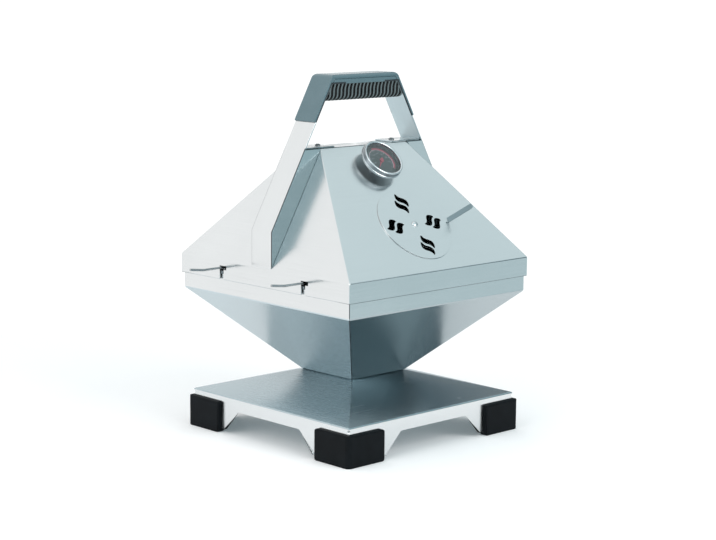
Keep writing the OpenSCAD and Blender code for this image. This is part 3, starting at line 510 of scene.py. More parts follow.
# Painted highlight on the crests and painted shade in the grooves.
RIBS = RibRubber("rubber_ribbed_painted_light")
DIAL = Paint("dial_dark_enamel", (0.026, 0.044, 0.046), (0.040, 0.062, 0.064), 0.5)
RED = Paint("dial_red", (0.44, 0.045, 0.085), (0.52, 0.060, 0.105), 0.45)
PINK = Paint("dial_pink", (0.74, 0.50, 0.57), (0.80, 0.56, 0.62), 0.45)
PALE_PRINT = Paint("dial_pale", (0.40, 0.45, 0.45), (0.48, 0.53, 0.53), 0.5)
# Painted shade under the bezel, round the dial's rim.
DIAL_RIM_SHADE = Paint("dial_rim_painted_shade", (0.004, 0.008, 0.009), (0.007, 0.012, 0.014), 0.5)
GLASS = WindowGlass("glass_clear")


def mesh_piece(name: str, work: Mesh, smooth: float = 40.0) -> Piece:
    """Turns a bmesh into a piece with soft shading below an angle.

    Args:
        name: The piece's name.
        work: The mesh, which is freed.
        smooth: Edges that turn more than this many degrees stay sharp.

    Returns:
        The piece, in the scene.
    """
    bmesh.ops.recalc_face_normals(work, faces=work.faces)
    mesh = bpy.data.meshes.new(name)
    work.to_mesh(mesh)
    work.free()
    mesh.shade_smooth()
    mesh.set_sharp_from_angle(angle=math.radians(smooth))
    made = bpy.data.objects.new(name, mesh)
    bpy.context.scene.collection.objects.link(made)
    return made


def settle(piece: Piece) -> Piece:
    """Applies the piece's modifiers to its mesh."""
    bpy.context.view_layer.update()
    graph = bpy.context.evaluated_depsgraph_get()
    final = bpy.data.meshes.new_from_object(piece.evaluated_get(graph))
    old = piece.data
    piece.modifiers.clear()
    piece.data = final
    final.name = piece.name
    bpy.data.meshes.remove(old)
    return piece


def even_shading(piece: Piece, share: int = 80) -> Piece:
    """Keeps large flat faces flat beside rounded edges.

    Args:
        piece: The piece.
        share: How much more a large face counts than a small one, from 50.

    Returns:
        The piece.
    """
    weighted = piece.modifiers.new("even", "WEIGHTED_NORMAL")
    weighted.keep_sharp = True
    weighted.weight = share
    return settle(piece)


def bridge(work: Mesh, low: Row, high: Row, closed: bool = True) -> None:
    """Adds the faces between two rows of as many points.

    Args:
        work: The mesh to add to.
        low: The first row.
        high: The second row.
        closed: Whether the rows run round and meet their own start.
    """
    for i in range(len(low) if closed else len(low) - 1):
        j = (i + 1) % len(low)
        work.faces.new([low[i], low[j], high[j], high[i]])


def round_edges(
    work: Mesh, edges: list[Edge], width: float, steps: int, slide: bool = False
) -> None:
    """Bevels edges.

    Args:
        work: The mesh.
        edges: The edges; there may be none.
        width: Width of the bevel on each face.
        steps: Faces across the bevel.
        slide: Whether the bevel's ends slide along the edges that they meet.
    """
    if edges:
        bmesh.ops.bevel(
            work, geom=edges, offset=width, offset_type="OFFSET", segments=steps, profile=0.5,
            affect="EDGES", clamp_overlap=False, loop_slide=slide,
        )


@dataclass(frozen=True)
class Softening:
    """Rounds the edges of a CAD node's copy as pressing, cutting and moulding do.

    Attributes:
        edge: Radius of cut edges.
        fold: Radius of folds between two faces of the sheet.
        sheet: Sheet thickness; a face hardly wider than this is a cut edge.
        splits: Heights at which the faces are divided, so that zones can end there.
    """

    edge: float
    fold: float = 0.0
    sheet: float = 0.0
    splits: tuple[float, ...] = ()

    FOLD_STEPS: ClassVar[int] = 5
    EDGE_STEPS: ClassVar[int] = 2
    FLAT: ClassVar[float] = math.radians(0.4)
    WIDE: ClassVar[float] = 1.6

    def copy(self, node: Piece, name: str, reshape: Reshape | None = None) -> Piece:
        """A welded, rounded copy of a CAD node.

        Args:
            node: The CAD node's object, which stays as it is.
            name: The new piece's name.
            reshape: A change to the welded mesh before its edges are rounded.

        Returns:
            The piece.
        """
        work = bmesh.new()
        work.from_mesh(node.data)
        bmesh.ops.remove_doubles(work, verts=work.verts, dist=WELD)
        bmesh.ops.dissolve_limit(
            work, angle_limit=self.FLAT, verts=work.verts, edges=work.edges, use_dissolve_boundaries=False
        )
        if reshape:
            reshape(work)
        if self.fold:
            folds = [e for e in self._turning(work) if self._is_fold(e)]
            round_edges(work, folds, self.fold, self.FOLD_STEPS, slide=True)
        round_edges(work, self._turning(work), self.edge, self.EDGE_STEPS, slide=True)
        for height in self.splits:
            everything = [*work.verts, *work.edges, *work.faces]
            level = {"plane_co": (0.0, 0.0, height), "plane_no": (0.0, 0.0, 1.0)}
            bmesh.ops.bisect_plane(work, geom=everything, **level)
        return even_shading(mesh_piece(name, work, SHARP))

    @staticmethod
    def _turning(work: Mesh) -> list[Edge]:
        """The edges at which the surface turns sharply."""
        limit = math.radians(SHARP)
        return [e for e in work.edges if len(e.link_faces) == 2 and e.calc_face_angle() > limit]

    def _is_fold(self, edge: Edge) -> bool:
        """Whether the edge lies between two wide faces of the sheet."""
        wide = self.WIDE * self.sheet
        length = edge.calc_length()
        return length > 2 * wide and all(f.calc_area() / length > wide for f in edge.link_faces)


@dataclass(frozen=True)
class Ring:
    """A level rectangle of a pressed shell, by its half-widths and its height."""

    half_x: float
    half_y: float
    z: float

    def corners(self) -> list[Vector]:
        """The four corners, in turn."""
        signs = ((1, 1), (-1, 1), (-1, -1), (1, -1))
        return [Vector((x * self.half_x, y * self.half_y, self.z)) for x, y in signs]


@dataclass(frozen=True)
class PressedShell:
    """A square shell of thin sheet, open at its first ring and closed at its last.

    Attributes:
        outer: Rings of the outside, from the open edge.
        inner: Rings of the inside, from the open edge.
        fold: Radius of the folds and corners.
        lip: Chamfer along the outside of the open edge.
    """

    outer: tuple[Ring, ...]
    inner: tuple[Ring, ...]
    fold: float
    lip: float = 0.0

    STEPS: ClassVar[int] = 4
    CREASE: ClassVar[float] = 1.0

    def mesh(self) -> Mesh:
        """The shell with rounded folds."""
        work = bmesh.new()
        outside, inside = (self._skin(work, rings) for rings in (self.outer, self.inner))
        bridge(work, outside, inside)
        open_edge = {*outside, *inside}
        folds = [e for e in work.edges if not open_edge.issuperset(e.verts)]
        bmesh.ops.recalc_face_normals(work, faces=work.faces)
        round_edges(work, folds, self.fold, self.STEPS)
        if self.lip:
            round_edges(work, self._lip_edges(work), self.lip, 1)
        return work

    def _lip_edges(self, work: Mesh) -> list[Edge]:
        """The edges between the outside and the open edge."""
        level, wide = self.outer[0].z, self.inner[0].half_x + self.lip / 2

        def on_lip(vert: Vert) -> bool:
            """Whether a point lies on the outside of the open edge."""
            return abs(vert.co.z - level) < WELD and max(abs(vert.co.x), abs(vert.co.y)) > wide

        return [e for e in work.edges if all(map(on_lip, e.verts)) and e.calc_face_angle(0.0) > self.CREASE]

    @staticmethod
    def _skin(work: Mesh, rings: Sequence[Ring]) -> Row:
        """Adds one skin and returns the points of its first ring."""
        loops = [[work.verts.new(corner) for corner in ring.corners()] for ring in rings]
        for low, high in zip(loops, loops[1:]):
            bridge(work, low, high)
        work.faces.new(loops[-1])
        return loops[0]


def prism(outline: Sequence[Point], frame: Matrix, low: float, high: float) -> Mesh:
    """A straight bar with the given outline.

    Args:
        outline: The outline in the frame's x and y.
        frame: Where the outline lies; the bar runs along the frame's z.
        low: Start of the bar.
        high: End of the bar.

    Returns:
        The mesh.
    """
    work = bmesh.new()
    ends = [[work.verts.new(frame @ Vector((x, y, z))) for x, y in outline] for z in (low, high)]
    bridge(work, *ends)
    for end in ends:
        work.faces.new(end)
    bmesh.ops.recalc_face_normals(work, faces=work.faces)
    return work


def subtract(piece: Piece, work: Mesh, solver: Solver) -> None:
    """Cuts a closed mesh, which is freed, out of a piece."""
    cutter = mesh_piece("cutter", work)
    cut = piece.modifiers.new("cut", "BOOLEAN")
    cut.object, cut.operation, cut.solver = cutter, "DIFFERENCE", solver.value
    settle(piece)
    bpy.data.objects.remove(cutter)


def cut_out(piece: Piece, cutters: Sequence[Mesh]) -> Piece:
    """Cuts openings out of a sheet.

    Args:
        piece: The piece.
        cutters: Closed meshes, which are freed.

    Returns:
        The piece.
    """
    for work in cutters:
        subtract(piece, work, Solver.FAST)
    piece.data.set_sharp_from_angle(angle=math.radians(SHARP))
    return even_shading(piece)


def lathe(profile: Sequence[Point], steps: int) -> Mesh:
    """Turns a profile of (radius, height) points round the Z axis.

    Args:
        profile: The outline, from the bottom; a radius of 0 closes on the axis, and an outline that
            does not end on the axis closes on itself.
        steps: Facets round the axis.

    Returns:
        The mesh.
    """
    work = bmesh.new()
    turns = [2 * math.pi * i / steps for i in range(steps)]
    rings: list[Row] = []
    for radius, height in profile:
        used = turns if radius else turns[:1]
        rings.append([work.verts.new((radius * math.cos(a), radius * math.sin(a), height)) for a in used])
    pairs = list(zip(rings, rings[1:]))
    if len(rings[0]) > 1 and len(rings[-1]) > 1:
        pairs.append((rings[-1], rings[0]))
    for low, high in pairs:
        for i in range(steps):
            j = (i + 1) % steps
            corners = [low[i % len(low)], low[j % len(low)], high[j % len(high)], high[i % len(high)]]
            unique = list(dict.fromkeys(corners))
            if len(unique) > 2:
                work.faces.new(unique)
    return work


def dome(radius: float, base: float, height: float, steps: int = 8) -> list[Point]:
    """Profile points of a low rounded head, from its rim up to the axis.

    Args:
        radius: Radius of the rim.
        base: Height of the rim.
        height: Height of the head over its rim.
        steps: Points along the curve.

    Returns:
        The points, the last on the axis.
    """
    turns = [math.pi / 2 * i / steps for i in range(steps + 1)]
    points = [(radius * math.cos(a), base + height * math.sin(a)) for a in turns[:-1]]
    return [*points, (0.0, base + height)]


def arc(along: float, up: float, radius: float, degrees: Sequence[int]) -> list[Point]:
    """Profile points on an arc.

    Args:
        along: The centre's distance from the axis.
        up: The centre's height.
        radius: Radius of the arc.
        degrees: Angles of the points.

    Returns:
        The points.
    """
    turns = [math.radians(angle) for angle in degrees]
    return [(along + radius * math.cos(a), up + radius * math.sin(a)) for a in turns]


def arc_band(
    work: Mesh, inner: float, outer: float, start: float, end: float, level: float
) -> None:
    """Adds a flat printed band round the Z axis.

    Args:
        work: The mesh to add to.
        inner: Inner radius.
        outer: Outer radius.
        start: First angle in degrees.
        end: Last angle in degrees.
        level: Height of the band.
    """
    steps = max(2, int(abs(end - start) / ARC_STEP))
    turns = [math.radians(start + (end - start) * i / steps) for i in range(steps + 1)]
    near, far = (
        [work.verts.new((r * math.cos(a), r * math.sin(a), level)) for a in turns] for r in (inner, outer)
    )
    bridge(work, far, near, closed=False)


@dataclass
class SubAssembly:
    """A group of pieces that are built and dressed together."""

    frame: dict[str, Any]

    def node(self, name: str) -> Piece:
        """A CAD node's object."""
        return self.frame["nodes"][name]

    def dress(self, finish: Finish, *names: str) -> None:
        """Lays a finish on CAD nodes that keep their own shape."""
        for name in names:
            slots = self.node(name).data.materials
            slots.clear()
            slots.append(finish.material())
            LOG.info("dressed %s in %s", name, finish.name)

    def take(self, piece: Piece, finish: Finish, body: str, slot: str, *replaced: str) -> Piece:
        """Gives a new piece its finish, its body and the nodes that it stands for.

        Args:
            piece: The piece, in place.
            finish: Its finish.
            body: The CAD body that it rides on.
            slot: The record's material slot; not used.
            replaced: CAD nodes that it stands for.

        Returns:
            The piece.
        """
        piece.data.materials.clear()
        piece.data.materials.append(finish.material())
        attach(piece, body)
        if replaced:
            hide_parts(*replaced)
        LOG.info("built %s on %s", piece.name, body)
        return piece

    @staticmethod
    def zone(piece: Piece, finish: Finish, chosen: Chosen) -> None:
        """Lays another finish on the chosen faces of a piece."""
        piece.data.materials.append(finish.material())
        for face in piece.data.polygons:
            if chosen(face):
                face.material_index = len(piece.data.materials) - 1

    @staticmethod
    def across(face: Face) -> bool:
        """Whether a face looks to the front or the rear, and not to a side."""
        return abs(face.normal.y) > abs(face.normal.x)

    def soften(
        self,
        node: str,
        softening: Softening,
        finish: Finish,
        body: str,
        slot: str,
        reshape: Reshape | None = None,
    ) -> Piece:
        """Puts a rounded copy in the place of a CAD node.

        Args:
            node: The CAD node's name.
            softening: How its edges are rounded.
            finish: The copy's finish.
            body: The CAD body that it rides on.
            slot: The record's material slot.
            reshape: A change to the copy before its edges are rounded.

        Returns:
            The copy.
        """
        piece = softening.copy(self.node(node), f"{node}_soft", reshape)
        return self.take(piece, finish, body, slot, node)


@dataclass
class Base(SubAssembly):
    """The folded base, its rubber feet and the waist bolts."""

    sheet: float = 1.5 * MM
    fold: float = 1.6 * MM
    edge_z: float = 49.5 * MM
    cut_edge: float = 0.25 * MM
    rubber_edge: float = 0.9 * MM

    CORNERS: ClassVar[tuple[str, ...]] = ("front_left", "front_right", "rear_left", "rear_right")

    def build(self) -> None:
        """Rounds the base's folds and the feet's edges, and dresses the fasteners."""
        folds = Softening(self.cut_edge, self.fold, self.sheet)
        shell = self.soften("base_shell", folds, BASE_SHEET, "base", "sheet_steel")
        # Faces that look to the front or the rear get painted shade.
        self.zone(shell, BASE_ACROSS_SHADE, self.across)
        # The skirt keeps the plain, paler sheet; the top and its folds keep the painted shade.
        self.zone(shell, SHEET, lambda face: face.center.z < self.edge_z)
        for corner in self.CORNERS:
            self.soften(f"foot_{corner}", Softening(self.rubber_edge), RUBBER, "base", "foot_rubber")
        self.dress(PLAIN, "waist_bolts", "waist_nuts")


@dataclass(frozen=True)
class LatchPlace:
    """Where the latch wires pass through the lid's skirt and the bowl's rim."""

    y: float = 80 * MM
    wire_z: float = 227.6 * MM
    clear: float = 2.6 * MM
    leg: float = 4 * MM
    skirt_swing: float = 9.256 * MM
    rim_swing: float = 7.581 * MM
    rim_drop: float = 8.6 * MM
    far: float = 20 * MM

    TURN: ClassVar[Matrix] = Matrix(((0, 0, 1, 0), (1, 0, 0, 0), (0, 1, 0, 0), (0, 0, 0, 1)))

    def _cutters(self, outline: Sequence[Point], start: float) -> list[Mesh]:
        """Bars with an outline in y and z, at every latch, from start outwards along x."""
        cutters = []
        for side, row in product(Side, (-1, 1)):
            moved = [(y + row * self.y, z + self.wire_z) for y, z in outline]
            low, high = sorted((side.value * start, side.value * (start + self.far)))
            cutters.append(prism(moved, self.TURN, low, high))
        return cutters

    def skirt_notches(self, start: float) -> list[Mesh]:
        """Cutters for the skirt: an open leg upwards, then a hook."""
        leg, swing, clear = self.leg, self.skirt_swing, self.clear
        outline = [
            (-leg, -self.far), (leg, -self.far), (leg, clear),
            (-swing, clear), (-swing, -clear), (-leg, -clear),
        ]
        return self._cutters(outline, start)

    def rim_notches(self, start: float) -> list[Mesh]:
        """Cutters for the bowl's rim."""
        leg, swing, drop = self.leg, self.rim_swing, self.rim_drop
        outline = [(-swing, -drop), (leg, -drop), (leg, self.far), (-swing, self.far)]
        return self._cutters(outline, start)


@dataclass
class Bowl(SubAssembly):
    """The bowl, its latch lugs and what lies in it."""

    sheet: float = 1.2 * MM
    fold: float = 1.3 * MM
    waist: float = 49.1 * MM
    waist_z: float = 80.2 * MM
    rim: float = 162.1 * MM
    rim_z: float = 191.2 * MM
    rim_top: float = 232.0 * MM
    cut_depth: float = 5 * MM
    seam: float = 0.3

    SHEETS: ClassVar[tuple[str, ...]] = ("bowl_floor", "bowl_front", "bowl_rear", "bowl_left", "bowl_right")

    def shell(self) -> PressedShell:
        """The bowl's skin, from the rim down."""
        slope = math.atan2(self.rim_z - self.waist_z, self.rim - self.waist)
        inside, lift = self.rim - self.sheet, self.sheet * math.tan((math.pi / 2 - slope) / 2)
        floor = self.waist - self.sheet * math.tan(slope / 2)
        outer = ((self.rim, self.rim_top), (self.rim, self.rim_z), (self.waist, self.waist_z))
        inner = ((inside, self.rim_top), (inside, self.rim_z + lift), (floor, self.waist_z + self.sheet))
        rings = [tuple(Ring(half, half, z) for half, z in skin) for skin in (outer, inner)]
        return PressedShell(rings[0], rings[1], self.fold)

    def on_seam(self, face: Face) -> bool:
        """Whether a face lies in the middle of a corner's fold, where the sheets meet."""
        along, across = abs(face.normal.x), abs(face.normal.y)
        return min(along, across) > self.seam and abs(along - across) < self.seam

    def build(self) -> None:
        """Presses the bowl and dresses the grates, the ash pan and the lugs."""
        bowl = mesh_piece("bowl_pressed", self.shell().mesh(), SHARP)
        cut_out(bowl, LatchPlace().rim_notches(self.rim - self.cut_depth))
        self.take(bowl, BOWL_SHEET, "base", "sheet_steel", *self.SHEETS)
        # Faces that look to the front or the rear get painted shade.
        self.zone(bowl, BOWL_ACROSS_SHADE, self.across)
        # The rim keeps the plain sheet, paler than the painted shade below it.
        self.zone(bowl, SHEET, lambda face: face.center.z > self.rim_z + self.fold)
        self.zone(bowl, SEAM_AND_SHADE, self.on_seam)
        self.dress(PLAIN, "latch_lugs", "ash_pan")
        self.dress(RODS, "charcoal_grate")
        self.dress(BRIGHT, "cooking_grate")


@dataclass
class Latches(SubAssembly):
    """The four wire levers that lock the lid."""

    def build(self) -> None:
        """Dresses the levers."""
        for corner in Base.CORNERS:
            self.dress(WIRE, f"latch_lever_{corner}")


@dataclass(frozen=True)
class LidFace:
    """The lid's front face, on which the thermometer and the damper sit."""

    lid_w: float = 330 * MM
    plateau_d: float = 34 * MM
    rise: float = 150 * MM
    edge_z: float = 237.3 * MM
    damper_up: float = 74.5 * MM
    gauge_up: float = 174 * MM

    def place(self, up: float) -> Matrix:
        """A frame on the face, with z off the face.

        Args:
            up: Distance up the face from the skirt.

        Returns:
            The frame as a matrix.
        """
        slope = math.atan2(self.rise, (self.lid_w - self.plateau_d) / 2)
        start = Matrix.Translation((0.0, -self.lid_w / 2, self.edge_z))
        return start @ Matrix.Rotation(slope, 4, "X") @ Matrix.Translation((0.0, up, 0.0))


@dataclass
class Lid(SubAssembly):
    """The pyramid lid with its corner stops."""

    face: LidFace
    sheet: float = 1.2 * MM
    fold: float = 1.3 * MM
    skirt_z: float = 211.8 * MM
    lip: float = 0.6 * MM
    plateau_half: float = 79.3 * MM
    cut_depth: float = 6 * MM
    window_ring: float = 34.5 * MM
    half_window: tuple[Point, ...] = (
        (-2.9 * MM, 17.3 * MM), (12.4 * MM, 9.2 * MM), (12.4 * MM, -0.8 * MM)
    )

    SHEETS: ClassVar[tuple[str, ...]] = (
        "lid_top", "lid_front", "lid_rear", "lid_left", "lid_right",
        "skirt_upper_left", "skirt_upper_right", "skirt_lower_left", "skirt_lower_right",
    )

    def shell(self) -> PressedShell:
        """The lid's skin, from the skirt up."""
        wide, deep, edge = self.face.lid_w / 2, self.face.plateau_d / 2, self.face.edge_z
        top = edge + self.face.rise
        inside, t = wide - self.sheet, self.sheet
        side_slope = math.atan2(self.face.rise, wide - self.plateau_half)
        front_slope = math.atan2(self.face.rise, wide - deep)
        drop = t * math.tan((math.pi / 2 - front_slope) / 2)
        outer = (Ring(wide, wide, self.skirt_z), Ring(wide, wide, edge), Ring(self.plateau_half, deep, top))
        top_x = self.plateau_half - t * math.tan(side_slope / 2)
        top_y = deep - t * math.tan(front_slope / 2)
        skirt = (Ring(inside, inside, self.skirt_z), Ring(inside, inside, edge - drop))
        inner = (*skirt, Ring(top_x, top_y, top - t))
        return PressedShell(outer, inner, self.fold, self.lip)

    def windows(self) -> list[Mesh]:
        """Cutters for the windows under the damper's slots."""
        place, ring = self.face.place(self.face.damper_up), self.window_ring
        outline = [(s * x, s * y + ring) for s in (1, -1) for x, y in self.half_window]
        cutters = []
        for angle in range(0, 360, 90):
            turned = place @ Matrix.Rotation(math.radians(angle), 4, "Z")
            cutters.append(prism(outline, turned, -self.cut_depth, self.cut_depth))
        return cutters

    def build(self) -> None:
        """Presses the lid and dresses the stops."""
        lid = mesh_piece("lid_pressed", self.shell().mesh(), SHARP)
        notches = LatchPlace().skirt_notches(self.face.lid_w / 2 - self.cut_depth)
        cut_out(lid, [*notches, *self.windows()])
        self.take(lid, SHEET, "lid", "sheet_steel", *self.SHEETS)
        # A painted shade line along the skirt's lower edge, in the base's darker sheet.
        self.zone(lid, BASE_SHEET, lambda face: face.center.z < self.skirt_z + self.lip)
        self.dress(PLAIN, "lid_stops", "lid_nuts")


@dataclass
class RibbedInsert(SubAssembly):
    """The ribbed bar under the grip cover."""

    face: LidFace
    width: float = 37 * MM
    low: float = 447.9 * MM
    high: float = 469.9 * MM
    corner: float = 7 * MM
    knee_z: float = 285.3 * MM
    lean: float = 29.0
    strap: float = 2 * MM
    pitch: float = 6.6 * MM
    groove: float = 3.4 * MM
    depth: float = 2.5 * MM
    slant: float = 5.5 * MM
    sway: float = 0.8 * MM
    border: float = 1.2 * MM
    soft_wall: float = 1.0 * MM
    fade: float = 0.6 * MM
    columns: int = 440

    DEPTH: ClassVar[str] = "groove_depth"
    SIDE_STEPS: ClassVar[int] = 16
    TURN_STEPS: ClassVar[int] = 8
    BOTTOM_STEPS: ClassVar[int] = 8

    def half_length(self, z: float) -> float:
        """Half the bar's length at height z, between the leaning straps and round its lower corners."""
        lean = math.radians(self.lean)
        inside = self.face.lid_w / 2 - (z - self.knee_z) * math.tan(lean) - self.strap / math.cos(lean)
        below = max(0.0, self.corner - (z - self.low))
        return inside - (self.corner - math.sqrt(max(0.0, self.corner**2 - below**2)))

    def sunk(self, x: float, z: float) -> float:
        """How deep the groove is at a point of the side, as a share of its depth."""
        share = (z - self.low) / (self.high - self.low)
        shift = self.slant * (share - 0.5) + self.sway * math.sin(2 * math.pi * share)
        turn = (x - shift) / self.pitch
        from_groove = abs(turn - round(turn)) * self.pitch
        wall = (self.groove + self.soft_wall) / 2
        share_in = self._held((wall - from_groove) / self.soft_wall)
        to_top = self._held((self.high - self.fade - z) / self.fade)
        to_end = self._held((self.half_length(z) - self.border - abs(x)) / self.fade)
        smooth = share_in * share_in * (3 - 2 * share_in)
        return smooth * to_top * to_end

    def section(self) -> list[tuple[float, float, float, float]]:
        """Points round the bar's sides and bottom as (y, z) and the outward direction (y, z)."""
        half, corner = self.width / 2, self.corner
        side = [(half, z, 1.0, 0.0) for z in self._levels(self.high, self.low + corner, self.SIDE_STEPS)]
        turn = []
        for angle in self._levels(0.0, math.pi / 2, self.TURN_STEPS)[1:]:
            out_y, out_z = math.cos(angle), -math.sin(angle)
            turn.append((half - corner + corner * out_y, self.low + corner + corner * out_z, out_y, out_z))
        middle = self._levels(half - corner, 0.0, self.BOTTOM_STEPS)[1:]
        front = [*side, *turn, *((y, self.low, 0.0, -1.0) for y in middle)]
        return front + [(-y, z, -out_y, out_z) for y, z, out_y, out_z in reversed(front[:-1])]

    @staticmethod
    def _held(value: float) -> float:
        """The value, held between 0 and 1."""
        return min(1.0, max(0.0, value))

    @staticmethod
    def _levels(start: float, end: float, steps: int) -> list[float]:
        """Evenly spaced values from start to end."""
        return [start + (end - start) * i / steps for i in range(steps + 1)]

    def build(self) -> None:
        """Lofts the bar, sinks its wavy grooves and closes its ends and top."""
        work = bmesh.new()
        layer = work.verts.layers.float.new(self.DEPTH)
        rows: list[Row] = []
        for y, z, out_y, out_z in self.section():
            reach, row = self.half_length(z), []
            for i in range(self.columns + 1):
                x = reach * (2 * i / self.columns - 1)
                share = self.sunk(x, z)
                vert = work.verts.new((x, y - out_y * share * self.depth, z - out_z * share * self.depth))
                vert[layer] = share
                row.append(vert)
            rows.append(row)
        for low, high in zip(rows, [*rows[1:], rows[0]]):
            bridge(work, low, high, closed=False)
        for end in (0, -1):
            work.faces.new([row[end] for row in rows])
        piece = mesh_piece("grip_ribbed_insert", work, SHARP_TURNED)
        self.take(piece, RIBS, "lid", "rib_rubber", "grip_insert")


@dataclass
class Handle(SubAssembly):
    """The folded arms, their screws and the grip cover."""

    edge: float = 0.8 * MM
    cover_edge: float = 0.5 * MM
    tab_z: float = 389.3 * MM
    cover_z: float = 421.9 * MM
    upright: float = 0.95
    aslant: float = 0.1
    inward: float = -0.3
    screw_x: float = 67.9 * MM
    head_r: float = 3.75 * MM
    head_h: float = 2.2 * MM
    head_rim: float = 0.77 * MM
    land_r: float = 2.295 * MM
    shank_r: float = 2.0 * MM
    shank_l: float = 9.4 * MM
    tip: float = 0.4 * MM
    socket_r: float = 1.7 * MM
    socket_h: float = 1.5 * MM
    sharp: float = 35.0

    LAND_STEPS: ClassVar[int] = 3

    def build(self) -> None:
        """Rounds the arms and the cover, and turns the tab screws."""
        for side in Side:
            self.arm(side)
            self.tab_screw(side)
        self.soften("grip_cover", Softening(self.cover_edge), PLASTIC, "lid", "grip_plastic")
        self.dress(PLAIN, "grip_screws")

    def arm(self, side: Side) -> None:
        """One arm, with painted shade inside, on the left hood's cheeks, in the creases and above the cover.
        """
        # The left hood's cheeks get painted shade; the right's keep the plain sheet.
        cheek = CHEEK_SHADE if side is Side.LEFT else SHEET
        softening = Softening(self.edge, splits=(self.tab_z, self.cover_z))
        arm = self.soften(f"handle_arm_{side.name.lower()}", softening, ARM_SHEET, "lid", "sheet_steel")

        def outwards(face: Face) -> float:
            """How far a face looks away from the lid's middle."""
            return face.normal.x * side.value

        def creased(face: Face) -> bool:
            """Whether a face of the hood lies between a cheek and the arm's back."""
            return self.aslant < abs(face.normal.y) < self.upright and face.center.z < self.tab_z

        # Faces that look towards the lid's middle get painted shade.
        self.zone(arm, ARM_INSIDE_SHADE, lambda face: outwards(face) < self.inward)
        self.zone(arm, cheek, lambda face: abs(face.normal.y) > self.upright and face.center.z < self.tab_z)
        # The hood's creases between cheek and back get painted shade.
        self.zone(arm, SHADE_SHEET, creased)
        # The hood's outer creases and the faces above the grip cover get near-black painted shade.
        self.zone(arm, SEAM_AND_SHADE, lambda face: creased(face) and outwards(face) > self.aslant)
        self.zone(
            arm, SEAM_AND_SHADE, lambda face: abs(face.normal.y) > self.aslant and face.center.z > self.cover_z
        )

    def tab_screw(self, side: Side) -> None:
        """A button-head screw with a hexagon socket, in one arm's tab."""
        head, low = dome(self.head_r, self.head_rim, self.head_h - self.head_rim), -self.shank_l
        profile = [
            (0.0, low), (self.shank_r - self.tip, low), (self.shank_r, low + self.tip), (self.shank_r, 0.0),
            (self.head_r, 0.0), *head[:-self.LAND_STEPS], (self.land_r, self.head_h), (0.0, self.head_h),
        ]
        screw = mesh_piece(f"tab_screw_{side.name.lower()}", lathe(profile, steps=48), self.sharp)
        socket, top = bmesh.new(), Matrix.Translation((0.0, 0.0, self.head_h))
        size = {"radius1": self.socket_r, "radius2": self.socket_r, "depth": 2 * self.socket_h}
        bmesh.ops.create_cone(socket, cap_ends=True, segments=6, matrix=top, **size)
        subtract(screw, socket, Solver.EXACT)
        screw.data.transform(Matrix.Translation((side.value * self.screw_x, 0.0, self.tab_z)))
        replaced = ("lid_screws",) if side is Side.LEFT else ()
        self.take(screw, BLACK_SCREW, "lid", "black_screw", *replaced)


